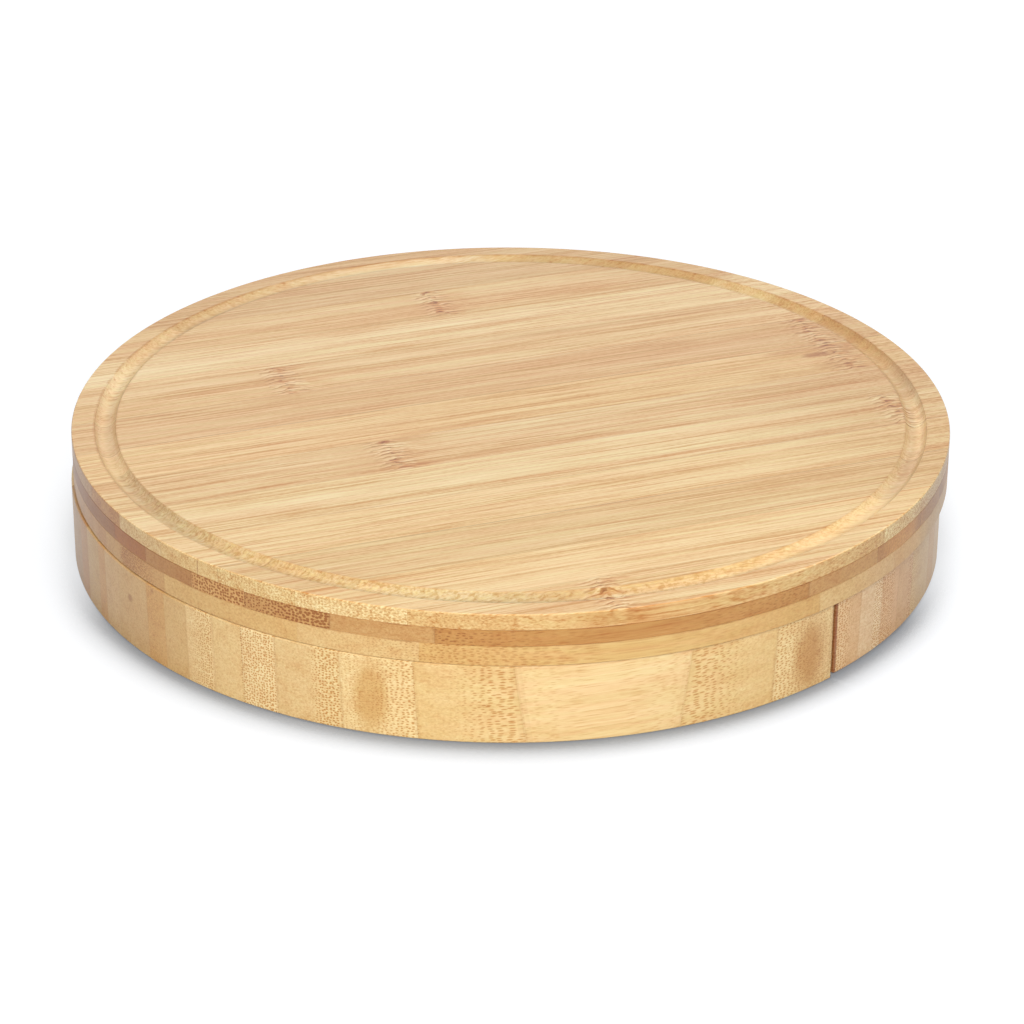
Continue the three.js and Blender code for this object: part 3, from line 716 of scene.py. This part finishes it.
def settle(obj):
    # the evaluated result becomes the object's own plain mesh
    depsgraph = bpy.context.evaluated_depsgraph_get()
    mesh = bpy.data.meshes.new_from_object(obj.evaluated_get(depsgraph), depsgraph=depsgraph)
    obj.modifiers.clear()
    obj.data = mesh
    mesh.name = obj.name


def carve(obj, cutters):
    for cutter in cutters:
        modifier = obj.modifiers.new("cut", "BOOLEAN")
        modifier.operation = "DIFFERENCE"
        modifier.solver = "EXACT"
        modifier.object = cutter
    settle(obj)
    for cutter in cutters:
        bpy.data.objects.remove(cutter)


def dress(obj, material, body, slot, *nodes, sharpDegrees=32):
    # smooth shading keeps flat faces flat and the eased edges round
    for polygon in obj.data.polygons:
        polygon.use_smooth = True
    obj.data.set_sharp_from_angle(angle=math.radians(sharpDegrees))
    modifier = obj.modifiers.new("weights", "WEIGHTED_NORMAL")
    modifier.keep_sharp = True
    modifier.weight = 60
    settle(obj)
    obj.data.materials.clear()
    obj.data.materials.append(material)
    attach(obj, body)
    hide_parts(*nodes)


def dressOnBase(obj, *rest):
    obj.data.transform(onBase)
    dress(obj, *rest)


# Two geometry node trees: a turned disc with an optional ring groove, and a ring of such discs

discLengths = {"Radius": 130, "Bottom": 0, "Top": 5, "Edge Band": 16, "Upper Arris": 0.7, "Lower Arris": 0.2,
               "Groove Rim": 6.8, "Groove Width": 6.2, "Groove Depth": 0, "Groove Lip": 0.5}


def newTree(name, lengths, others):
    # lengths in millimetres; the other inputs are whole numbers, or socket types without a default
    tree = bpy.data.node_groups.new(name, "GeometryNodeTree")
    tree.is_modifier = True
    inputs = [(label, "NodeSocketFloat", value * mm) for label, value in lengths.items()]
    inputs += [(label, value, None) if isinstance(value, str) else (label, "NodeSocketInt", value)
               for label, value in others.items()]
    for label, kind, value in inputs:
        socket = tree.interface.new_socket(label, in_out="INPUT", socket_type=kind)
        if value is not None:
            socket.default_value = value
    tree.interface.new_socket("Geometry", in_out="OUTPUT", socket_type="NodeSocketGeometry")
    return tree, {output.name: Value(output) for output in tree.nodes.new("NodeGroupInput").outputs}


def endTree(geometry, material):
    realized = give("GeometryNodeRealizeInstances", {"Geometry": geometry})
    put("NodeGroupOutput", {"Geometry": give("GeometryNodeSetMaterial", {"Geometry": realized, "Material": material})})


def turnedDiscTree():
    # polar grid: rings run out over the upper face, its groove and arris, then down the side
    tree, given = newTree("turned disc", discLengths, {"Rings": 90, "Steps": 360, "Material": "NodeSocketMaterial"})
    radius, rings, steps = given["Radius"], given["Rings"], given["Steps"]
    grid = give("GeometryNodeMeshGrid", {"Size X": 1.0, "Size Y": 1.0, "Vertices X": rings + 3.0,
                                         "Vertices Y": steps + 1.0}, "Mesh")
    here = parts(give("GeometryNodeInputPosition", tree=tree))
    ring = (here[0] + 0.5) * (rings + 2.0)
    onSide = calc("GREATER_THAN", ring, rings + 0.5)
    onFoot = calc("GREATER_THAN", ring, rings + 1.5)
    inward = 1.0 - least(ring / rings, 1.0)
    reach = radius - given["Edge Band"] * inward ** 1.7

    arris = given["Upper Arris"]
    into = most(reach - (radius - arris), 0.0)
    edgeDrop = arris - calc("SQRT", most(arris * arris - into * into, 0.0))

    half = given["Groove Width"] * 0.5
    depth = most(given["Groove Depth"], 1e-7)
    floorRadius = (half * half + depth * depth) / (depth * 2.0)
    aside = reach - (radius - given["Groove Rim"] - half)
    chord = floorRadius * floorRadius - aside * aside
    bowl = calc("SQRT", most(chord, 0.0)) - (floorRadius - depth)
    groove = calc("SMOOTH_MAX", bowl, 0.0, given["Groove Lip"]) * calc("GREATER_THAN", given["Groove Depth"], 1e-6)

    upper = given["Top"] - edgeDrop - groove
    lower = given["Bottom"] + given["Lower Arris"]
    drop = onFoot * given["Lower Arris"]
    height = upper * (1.0 - onSide) + lower * onSide + drop * -1.0
    reach = reach - drop
    angle = (here[1] + 0.5) * tau
    where = vector(reach * calc("COSINE", angle), reach * calc("SINE", angle), height)
    joined = put("GeometryNodeJoinGeometry", tree=tree)
    tree.links.new(give("GeometryNodeSetPosition", {"Geometry": grid, "Position": where}).socket, joined.inputs[0])
    for lidRadius, lidHeight in ((radius - given["Edge Band"], given["Top"]),
                                 (radius - given["Lower Arris"], given["Bottom"])):
        lid = give("GeometryNodeMeshCircle", {"Vertices": steps, "Radius": lidRadius}, fill_type="NGON")
        lid = give("GeometryNodeTransform", {"Geometry": lid, "Translation": vector(0.0, 0.0, lidHeight)})
        tree.links.new(lid.socket, joined.inputs[0])
    endTree(give("GeometryNodeMergeByDistance", {"Geometry": Value(joined.outputs[0]), "Distance": 4e-6}),
            given["Material"])
    return tree


def padRingTree(discTree):
    # discs set face down on a ring, each one an angle step on from the last
    tree, given = newTree("ring of pads", {"Ring Radius": 100, **discLengths}, {
        "Rings": 24, "Steps": 48, "Count": 3, "First Angle": "NodeSocketFloat", "Angle Step": "NodeSocketFloat",
        "Material": "NodeSocketMaterial"})
    disc = tree.nodes.new("GeometryNodeGroup")
    disc.node_tree = discTree
    for label in [*discLengths, "Rings", "Steps", "Material"]:
        tree.links.new(given[label].socket, disc.inputs[label])
    down = give("GeometryNodeTransform", {"Geometry": Value(disc.outputs[0]), "Rotation": (math.pi, 0, 0)})
    angle = given["First Angle"] + give("GeometryNodeInputIndex", tree=tree) * given["Angle Step"]
    spot = vector(given["Ring Radius"] * calc("COSINE", angle), given["Ring Radius"] * calc("SINE", angle))
    points = give("GeometryNodePoints", {"Count": given["Count"], "Position": spot})
    endTree(give("GeometryNodeInstanceOnPoints", {"Points": points, "Instance": down}), given["Material"])
    return tree


def grow(name, tree, lengths, plain, material):
    # runs a tree with its inputs set by identifier, and keeps the result as a plain mesh
    obj = newObject(name, bpy.data.meshes.new(name))
    modifier = obj.modifiers.new("grow", "NODES")
    modifier.node_group = tree
    values = {label: value * mm for label, value in lengths.items()} | plain | {"Material": material}
    for socket in tree.interface.items_tree:
        if socket.in_out == "INPUT" and socket.name in values:
            modifier[socket.identifier] = values[socket.name]
    settle(obj)
    clean(obj.data)
    return obj


discTree = turnedDiscTree()
padTree = padRingTree(discTree)

plies = {"radius": 130, "heights": (24.5, 30.4, 35.2, 40), "rings": (8, 8, 90), "steps": 360, "bands": (2, 2, 16),
         "arrises": (0.14, 0.14, 0.45), "seamArris": 0.14, "grooveRim": 6.8, "grooveWidth": 6.2,
         "grooveDepths": (0, 0, 2.1), "grooveLip": 0.7}
under, core, top = (
    grow(name, discTree,
         {"Radius": plies["radius"], "Bottom": plies["heights"][i], "Top": plies["heights"][i + 1],
          "Edge Band": plies["bands"][i], "Upper Arris": plies["arrises"][i], "Lower Arris": plies["seamArris"],
          "Groove Rim": plies["grooveRim"], "Groove Width": plies["grooveWidth"],
          "Groove Depth": plies["grooveDepths"][i], "Groove Lip": plies["grooveLip"]},
         {"Rings": plies["rings"][i], "Steps": plies["steps"]}, material)
    for i, (name, material) in enumerate((("underPly", underBamboo), ("corePly", coreBamboo), ("topPly", topBamboo))))

# the pivot stands at the back left, in the base's frame
pivot = {"x": -112.841, "y": -20.0, "insertRadius": 5.3, "insertBottom": 20, "insertTop": 33.4, "shoulder": 4.5,
         "thread": 2.9, "headBottom": 1.5, "headTop": 4.5, "headRadius": 7.5, "shoulderTop": 24.2, "threadTop": 31.8,
         "socket": 2.6, "socketStart": -1, "socketDepth": 1.8, "socketTip": 0.9, "washerRadius": 9, "washerHole": 4.8,
         "washerChamfer": 0.2, "lowerWasher": (4.8, 6.0), "upperWasher": (23.0, 24.2), "clearance": 0.3,
         "dome": ((0.8, 0), (0.25, 0.3), (0, 0.9)), "headEase": 0.2, "shoulderEase": 0.3, "threadEase": 0.6}
through = 35  # above the insert's bore
beyond = 2  # how far a cutter reaches past the face that it opens


def bore(radius, bottom, top, x=pivot["x"], y=pivot["y"]):
    return lathe("bore", [(0, bottom), (radius, bottom), (radius, top), (0, top)], x, y, 48)


def boreOnBase(*sizes):
    obj = bore(*sizes)
    obj.data.transform(onBase)
    return obj


carve(under, [boreOnBase(pivot["insertRadius"], pivot["insertBottom"], through)])
carve(core, [boreOnBase(pivot["insertRadius"], pivot["insertBottom"], pivot["insertTop"])])
dress(under, underBamboo, "board", "light_bamboo", "under_ply")
dress(core, coreBamboo, "board", "dark_bamboo", "core_ply")
dress(top, topBamboo, "board", "light_bamboo", "top_ply")
print("plies made")

# block and tray
base = {"radius": 129.6, "easing": 0.45, "corner": 0.6, "rimSteps": 220, "cutOffset": 5.0, "blockFace": -4.1,
        "block": (1.2, 24.5), "tray": (0.3, 24.05), "pivotInset": 15, "pivotSteps": 44, "below": -2, "above": 30}
feet = {"seatRadius": 7.3, "seatTop": 3.1, "ring": 105.6, "first": 12, "step": 78, "count": 3, "radius": 7,
        "height": 2.8}
glides = {"seatRadius": 5.3, "seatTop": 1.8, "ring": 107.6, "first": -50, "step": -80, "count": 2, "radius": 5,
          "height": 1.5}
magnets = {"x": 107.5, "z": 12.175, "radius": 4, "chamfer": 0.3, "block": (-4.4, -1.4), "tray": (-7.7, -4.7),
           "blockBore": (-8, -1.1), "trayBore": (-8, 0), "boreRadius": 4.3}


def lieInBase(obj):
    # turns what stands on the origin to lie across the saw cut where the magnets are
    obj.data.transform(moved(magnets["x"], 0, magnets["z"]) @ turned(-90, "X"))
    return obj


def magnetBore(which):
    return lieInBase(bore(magnets["boreRadius"], *magnets[which], 0, 0))


def seats(pads):
    # bores for the pads, which stand on a ring
    for i in range(pads["count"]):
        angle = math.radians(pads["first"] + pads["step"] * i)
        yield bore(pads["seatRadius"], base["below"], pads["seatTop"], pads["ring"] * math.cos(angle),
                   pads["ring"] * math.sin(angle))


faceDegrees = math.degrees(math.asin(base["blockFace"] / base["radius"]))
blockOutline = arc(0, 0, base["radius"], faceDegrees, 180 - faceDegrees, base["rimSteps"])
blockOutline = roundCorner(blockOutline, len(blockOutline) - 1, base["corner"])
blockOutline = roundCorner(blockOutline, 0, base["corner"])
block = slab("baseBlock", blockOutline, *base["block"], base["easing"])
carve(block, [*seats(feet), magnetBore("blockBore")])
dressOnBase(block, blockBamboo, "board", "light_bamboo", "base_block")

trayEnd = math.degrees(math.atan2(-pivot["y"], -pivot["x"])) - 180
trayStart = -math.degrees(math.asin(base["cutOffset"] / base["radius"]))
trayOutline = (arc(pivot["x"], pivot["y"], base["pivotInset"], -270, trayEnd, base["pivotSteps"])
               + arc(0, 0, base["radius"], trayEnd, trayStart, base["rimSteps"])[1:])
trayOutline = roundCorner(trayOutline, len(trayOutline) - 1, base["corner"])
tray = slab("toolTray", trayOutline, *base["tray"], base["easing"])

# recesses: row centre, length and width of each, from the sawn face to the rim
recess = {"rows": {"knife": (-23.5, 156.3, 18), "cleaver": (-47, 136.3, 23), "chisel": (-71.5, 136.3, 20),
                   "fork": (-93, 128.3, 17)},
          "floor": 10.05, "corner": 4, "floorRound": 1.5, "mouthRound": 0.7}
fingerSlot = {"x": 31.65, "y": -58, "width": 24, "length": 95, "floor": 15.05, "corner": 7, "floorRound": 3,
              "mouthRound": 0.9}


def pocket(look, width, height, x, y):
    # a milling shape with a rounded floor edge and a mouth that flares at the tray's top face
    outline = roundedRectangle(width, height, look["corner"], x, y)
    mouth = base["tray"][1]
    rings = [atHeight(inset(outline, aside), look["floor"] + up) for aside, up in quarterSteps(look["floorRound"], 5)]
    rings += [atHeight(inset(outline, -aside), mouth - up) for up, aside in quarterSteps(look["mouthRound"], 4)]
    rings.append(atHeight(inset(outline, -look["mouthRound"]), mouth + beyond))
    return loft("pocket", rings)


cutters = [pocket(recess, length, width, 0, y) for y, length, width in recess["rows"].values()]
cutters.append(pocket(fingerSlot, fingerSlot["width"], fingerSlot["length"], fingerSlot["x"], fingerSlot["y"]))
washerSeat = pivot["washerRadius"] + pivot["clearance"]
cutters += [bore(pivot["washerHole"], base["below"], base["above"]),
            bore(washerSeat, base["below"], pivot["lowerWasher"][1] + pivot["clearance"]),
            bore(washerSeat, pivot["upperWasher"][0] - pivot["clearance"], base["above"]),
            *seats(glides), magnetBore("trayBore")]
carve(tray, cutters)
dressOnBase(tray, trayBamboo, "tray", "light_bamboo", "tray_block")
print("base made")

# the pads' faces have a ring groove
padFace = {"Upper Arris": 0.6, "Lower Arris": 0.3, "Groove Rim": 1.4, "Groove Width": 1.4, "Groove Depth": 0.35,
           "Groove Lip": 0.15}
for name, pads, material, body, slotName, nodes in (
        ("feet", feet, footRubber, "board", "foot_rubber", ("foot_1", "foot_2", "foot_3")),
        ("glides", glides, washerNylon, "tray", "washer_nylon", ("tray_glide_1", "tray_glide_2"))):
    obj = grow(name, padTree,
               {"Ring Radius": pads["ring"], "Radius": pads["radius"], "Bottom": -pads["height"], "Top": 0,
                "Edge Band": pads["radius"] * 0.7, **padFace},
               {"Rings": 24, "Steps": 48, "Count": pads["count"], "First Angle": math.radians(pads["first"]),
                "Angle Step": math.radians(pads["step"])}, material)
    dressOnBase(obj, material, body, slotName, *nodes)
print("feet and glides made")


def chamferedDisc(radius, bottom, top, chamfer, hole=0.0):
    outside = [(radius - chamfer, bottom), (radius, bottom + chamfer), (radius, top - chamfer),
               (radius - chamfer, top)]
    if hole:
        inside = [(hole + chamfer, top), (hole, top - chamfer), (hole, bottom + chamfer), (hole + chamfer, bottom)]
        return outside + inside + outside[:1]
    return [(0, bottom), *outside, (0, top)]


# the screw's profile, from the middle of its head up to the end of its thread
head, headBottom, headTop = pivot["headRadius"], pivot["headBottom"], pivot["headTop"]
shoulder, shoulderTop = pivot["shoulder"], pivot["shoulderTop"]
thread, threadTop = pivot["thread"], pivot["threadTop"]
headEase, shoulderEase, threadEase = pivot["headEase"], pivot["shoulderEase"], pivot["threadEase"]
screw = lathe("pivotScrew", [
    (0, headBottom), *((head - inward, headBottom + up) for inward, up in pivot["dome"]),
    (head, headTop - headEase), (head - headEase, headTop),
    (shoulder, headTop), (shoulder, shoulderTop - shoulderEase), (shoulder - shoulderEase, shoulderTop),
    (thread, shoulderTop), (thread, threadTop - threadEase), (thread - threadEase, threadTop),
    (0, threadTop)], pivot["x"], pivot["y"])
socketFloor = headBottom + pivot["socketDepth"]
carve(screw, [lathe("socket", [(0, pivot["socketStart"]), (pivot["socket"], pivot["socketStart"]),
                               (pivot["socket"], socketFloor), (0, socketFloor + pivot["socketTip"])],
                    pivot["x"], pivot["y"], 6)])
dressOnBase(screw, screwSteel, "board", "screw_steel", "pivot_screw")
for name, node in (("lowerWasher", "lower_washer"), ("upperWasher", "upper_washer")):
    profile = chamferedDisc(pivot["washerRadius"], *pivot[name], pivot["washerChamfer"], pivot["washerHole"])
    dressOnBase(lathe(name, profile, pivot["x"], pivot["y"]), washerNylon, "board", "washer_nylon", node)
for name, key, body, node in (("blockMagnet", "block", "board", "block_magnet"),
                              ("trayMagnet", "tray", "tray", "tray_magnet")):
    disc = lieInBase(lathe(name, chamferedDisc(magnets["radius"], *magnets[key], magnets["chamfer"])))
    dressOnBase(disc, magnetNickel, body, "magnet", node)
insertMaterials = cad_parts["pivot_insert"].data.materials
insertMaterials.clear()
insertMaterials.append(insertBrass)
print("hardware made")

# cheese tools; the outlines are shares of the blade's length and width
handle = {"length": 72, "width": 13, "neck": 10.4, "thickness": 11, "buttCorner": 4.3, "rounding": 2.4,
          "neckRounding": 0.9, "square": 3.6, "points": 48, "ringAt": 4.0, "ringDepth": 0.3, "ringWidth": 0.9,
          "taperFrom": 20, "taperBend": 1.3, "nip": 0.35, "buttReach": 9,
          "stops": (0, 0.15, 0.45, 0.9, 1.5, 2.3, 3.2, 4.3, 7, 12, 20, 28, 36, 44, 52, 58, 62, 65, 66.6,
                    67.1, 67.65, 68, 68.35, 68.9, 70.2, 71.1, 71.5, 71.8, 72)}
ferrule = {"gap": 0.3, "length": 8, "width": 10, "thickness": 8, "corner": 3,
           "drawnIn": ((0, 0.35), (0.12, 0.12), (0.4, 0), (1.5, 0), (1.7, 0.12), (1.95, 0.12), (2.15, 0.02),
                       (5.6, 0.12), (6.8, 0.3), (7.4, 0.55), (7.8, 0.9), (8, 1.4))}
blade = {"thickness": 1.6, "tang": 26, "tangWidth": 4.2, "edge": 0.3, "ease": 0.16, "slotGap": 0.3}
toolLift = 10.35  # underside of the lying handles
blades = {
    "knife": {"length": 72, "width": 15, "cutting": 3.4, "outline": [
        (0, -0.22), (0.05, -0.5), (0.62, -0.5), (0.8, -0.36), (0.93, -0.02), (1, 0.42), (0.975, 0.46),
        (0.9, 0.12), (0.875, 0.16), (0.92, 0.5), (0.88, 0.5), (0.8, 0.3), (0.05, 0.3), (0, 0.22)]},
    "cleaver": {"length": 52, "width": 20, "cutting": 3.8, "outline": [
        (0, -0.2), (0.08, -0.44), (0.14, -0.5), (0.92, -0.5), (0.98, -0.46), (1, -0.38),
        (1, 0.38), (0.98, 0.46), (0.92, 0.5), (0.14, 0.5), (0.08, 0.44), (0, 0.2)]},
    "chisel": {"length": 52, "width": 17, "cutting": 5.0, "outline": [
        (0, -0.24), (0.1, -0.3), (0.97, -0.5), (1, -0.47), (1, 0.47), (0.97, 0.5), (0.1, 0.3), (0, 0.24)]},
    "fork": {"length": 44, "width": 14, "cutting": 0, "outline": [
        (0, -0.2), (0.12, -0.28), (0.32, -0.5), (0.97, -0.5), (1, -0.42), (1, -0.34), (0.97, -0.26),
        (0.45, -0.2), (0.4, -0.1), (0.4, 0.1), (0.45, 0.2),
        (0.97, 0.26), (1, 0.34), (1, 0.42), (0.97, 0.5), (0.32, 0.5), (0.12, 0.28), (0, 0.2)]}}
handleMiddle = handle["thickness"] / 2


def superEllipse(x, halfWidth, halfHeight):
    ring = []
    for i in range(handle["points"]):
        angle = tau * i / handle["points"]
        c, s = math.cos(angle), math.sin(angle)
        ring.append((x, halfWidth * math.copysign(abs(c) ** (2 / handle["square"]), c),
                     handleMiddle + halfHeight * math.copysign(abs(s) ** (2 / handle["square"]), s)))
    return ring


def quarter(radius, distance):
    # how far a quarter round of that radius is still drawn in, this far from the end
    if distance >= radius:
        return 0.0
    return radius - math.sqrt(radius * radius - (radius - distance) ** 2)


def makeHandle(name, butt):
    groove = handle["length"] - handle["ringAt"]
    rings = []
    for at in handle["stops"]:
        taper = max(0.0, (at - handle["taperFrom"]) / (handle["length"] - handle["taperFrom"]))
        halfWidth = (handle["width"] + (handle["neck"] - handle["width"]) * taper ** handle["taperBend"]) / 2
        halfWidth -= handle["nip"] * math.exp(-(at / handle["buttReach"]) ** 2) + quarter(handle["buttCorner"], at)
        halfHeight = handleMiddle - handle["nip"] * taper - quarter(handle["rounding"], at)
        drawn = quarter(handle["neckRounding"], handle["length"] - at)
        drawn += handle["ringDepth"] * math.exp(-((at - groove) / (handle["ringWidth"] * 0.5)) ** 2)
        rings.append(superEllipse(butt + at, halfWidth - drawn, halfHeight - drawn))
    return loft(name, rings)


def tangSlot(fromX, toX):
    half, tall = (blade[key] / 2 + blade["slotGap"] for key in ("tangWidth", "thickness"))
    ring = [(-half, -tall), (half, -tall), (half, tall), (-half, tall)]
    return loft("tangSlot", [[(x, y, handleMiddle + z) for y, z in ring] for x in (fromX, toX)])


def makeFerrule(name, start):
    rings = []
    for at, drawn in ferrule["drawnIn"]:
        outline = roundedRectangle(ferrule["width"] - 2 * drawn, ferrule["thickness"] - 2 * drawn,
                                   ferrule["corner"] - drawn * 0.6)
        rings.append([(start + at, y, handleMiddle + z) for y, z in outline])
    return loft(name, rings)


def softened(outline, passes=3):
    # corner cutting, which turns a coarse outline into a smooth one
    for step in range(passes):
        following = outline[1:] + outline[:1]
        outline = [(x * near + nextX * (1 - near), y * near + nextY * (1 - near))
                   for (x, y), (nextX, nextY) in zip(outline, following) for near in (0.75, 0.25)]
    return outline


def clamped(value):
    return max(0.0, min(1.0, value))


def keenness(kind, x, outward, length):
    # 1 where the outline is the cutting edge
    if kind in ("knife", "cleaver"):
        return clamped((-outward.y - 0.25) * 2) * clamped(x / 6 - 0.3)
    if kind == "chisel":
        return clamped((outward.x - 0.4) * 3) * clamped((x - length + 6) / 3)
    return 0.0


def makeBlade(name, kind, shape, start):
    half, end = blade["tangWidth"] / 2, -blade["tang"]
    # extra points close to the shoulders keep the tang straight
    tang = [(-0.4, half), (-1.2, half), (end + 1, half), (end, half - 0.6)]
    outline = softened([(along * shape["length"], aside * shape["width"]) for along, aside in shape["outline"]]
                       + tang + [(x, -y) for x, y in reversed(tang)])
    keen = [keenness(kind, x, outwards(outline, i), shape["length"]) for i, (x, y) in enumerate(outline)]
    ease, thick, thin = blade["ease"], blade["thickness"] / 2, blade["edge"] / 2
    inner = inset(outline, [ease + (shape["cutting"] - ease) * amount for amount in keen])
    edgeHalf = [thick - ease - (thick - ease - thin) * amount for amount in keen]
    layers = ((inner, [-thick] * len(inner)), (outline, [-z for z in edgeHalf]), (outline, edgeHalf),
              (inner, [thick] * len(inner)))
    return loft(name, [[(start + x, y, handleMiddle + z) for (x, y), z in zip(points, heights)]
                       for points, heights in layers])


for kind, shape in blades.items():
    butt = -(handle["length"] + ferrule["gap"] + ferrule["length"] + shape["length"]) / 2
    ferruleStart = butt + handle["length"] + ferrule["gap"]
    bladeStart = ferruleStart + ferrule["length"]
    lay = onBase @ moved(0, recess["rows"][kind][0], toolLift) @ turned(180)
    grip = makeHandle(kind + "Handle", butt)
    carve(grip, [tangSlot(bladeStart - blade["tang"] - blade["slotGap"], bladeStart)])
    collar = makeFerrule(kind + "Ferrule", ferruleStart)
    carve(collar, [tangSlot(ferruleStart - beyond, bladeStart + beyond)])
    plate = makeBlade(kind + "Blade", kind, shape, bladeStart)
    for obj, material, slotName, node, sharpDegrees in (
            (grip, handleBamboo, "handle_bamboo", "handle", 32), (collar, ferruleSteel, "blade_steel", "ferrule", 32),
            (plate, bladeSteel, "blade_steel", "blade", 24)):
        obj.data.transform(lay)
        dress(obj, material, "tray", slotName, f"{kind}_{node}", sharpDegrees=sharpDegrees)
print("tools made")

# camera, from the ellipse of the rim in the photograph
view = {"lens": 123.05, "sensor": 36, "distance": 1050.5, "elevation": 25.554, "roll": 0.197, "aim": (0, 0, 20),
        "shift": (0.00146, -0.0402)}
camera = newObject("camera", bpy.data.cameras.new("camera"))
camera.data.sensor_width = view["sensor"]
camera.data.lens = view["lens"]
camera.data.shift_x, camera.data.shift_y = view["shift"]
lift = math.radians(view["elevation"])
stand = Vector(view["aim"]) + Vector((0, -math.cos(lift), math.sin(lift))) * view["distance"]
camera.matrix_world = moved(*stand) @ turned(90 - view["elevation"], "X") @ turned(view["roll"])
scene.camera = camera

# floor and light; the world's and the floor's white are for rays that look, and light the object only a little
room = {"floorSize": 8.0, "floorZ": -0.00002, "seenAlbedo": (0.215, 0.235, 0.266), "paper": 1.015,
        "bounceAlbedo": 0.4, "nearGlow": 0.85, "farGlow": 1.0, "glowFrom": 0.16, "glowTo": 0.45,
        "contactReach": 0.022, "contactGain": 2.12, "contactPower": 3.0, "contactMost": 0.85, "sideFrom": 0.87,
        "atTheSides": 0.3, "worldFill": 0.1, "fillTint": (0.96, 0.98, 1.0)}  # in metres


def whenSeen(tree):
    # 1 where a camera, mirror or clear ray looks
    path = put("ShaderNodeLightPath", tree=tree).outputs
    return most(Value(path["Is Camera Ray"]), most(Value(path["Is Glossy Ray"]), Value(path["Is Transmission Ray"])))


floorMaterial, tree = newMaterial("white floor")
seen = whenSeen(tree)
floorPlace = give("ShaderNodeTexCoord", output="Object", tree=tree)
seenColour = tint((*room["seenAlbedo"], 1), (*(value * room["paper"] for value in room["seenAlbedo"]), 1),
                  noise(floorPlace, 2.0, 0.5, 0.0, 40.0))
matt = give("ShaderNodeBsdfDiffuse", {"Color": tint((*[room["bounceAlbedo"]] * 3, 1), seenColour, seen)})
fromMiddle = vectorCalc("LENGTH", floorPlace)
glowStrength = seen * fade(fromMiddle, room["glowFrom"], room["glowTo"], room["nearGlow"], room["farGlow"])
# painted contact shadow: the floor's glow is darkened where ambient occlusion finds the board near, as half of the sky
# is covered at the foot of a wall, and less so towards the two sides, where light reaches in
covered = 1.0 - give("ShaderNodeAmbientOcclusion", {"Distance": room["contactReach"]}, "AO", tree, samples=16)
covered = least(covered * room["contactGain"], 1.0)
sideways = abs(parts(floorPlace)[0]) / most(fromMiddle, 0.001)
depth = fade(sideways, room["sideFrom"], 1.0, 1.0, room["atTheSides"])
paintedShadowFactor = 1.0 - least(covered ** room["contactPower"], room["contactMost"]) * depth
glow = give("ShaderNodeEmission", {"Color": (1, 1, 1, 1), "Strength": glowStrength * paintedShadowFactor})
lit = give("ShaderNodeAddShader", {0: matt, 1: glow})
clear = give("ShaderNodeBsdfTransparent", tree=tree)
behind = give("ShaderNodeNewGeometry", output="Backfacing", tree=tree)
surface(give("ShaderNodeMixShader", {0: behind, 1: lit, 2: clear}))
half = room["floorSize"] / 2
floorMesh = bpy.data.meshes.new("floor")
floorMesh.from_pydata([(-half, -half, 0), (half, -half, 0), (half, half, 0), (-half, half, 0)], [], [(0, 1, 2, 3)])
floor = newObject("floor", floorMesh)
floor.location.z = room["floorZ"]
floor.data.materials.append(floorMaterial)

world = bpy.data.worlds.new("studio")
scene.world = world
world.use_nodes = True
world.node_tree.nodes.clear()
seen = whenSeen(world.node_tree)
sky = give("ShaderNodeBackground", {"Color": tint((*room["fillTint"], 1), (1, 1, 1, 1), seen),
                                    "Strength": most(seen, room["worldFill"])})
surface(sky, "ShaderNodeOutputWorld")

lamps = {"key": {"at": (0, -1750, 1050), "size": (1000, 800), "power": 44, "tint": (1.0, 0.99, 0.97)},
         "overhead": {"at": (0, 150, 1700), "size": (1600, 1400), "power": 3, "tint": (1.0, 1.0, 1.0)},
         "rightBack": {"at": (880, 740, 1640), "size": (700, 700), "power": 9, "tint": (1.0, 0.995, 0.985)}}
for name, lamp in lamps.items():
    light = bpy.data.lights.new(name, "AREA")
    light.shape = "RECTANGLE"
    light.size, light.size_y = (side * mm for side in lamp["size"])
    light.energy = lamp["power"]
    light.color = lamp["tint"]
    obj = newObject(name, light)
    at = Vector(lamp["at"]) * mm
    obj.matrix_world = Matrix.Translation(at) @ (-at).to_track_quat("-Z", "Y").to_matrix().to_4x4()
    # the lamps light the object but aren't mirrored in it, or its top would burn out against the key
    obj.visible_glossy = False

scene.view_settings.view_transform = "Standard"
print("camera, floor and light made")
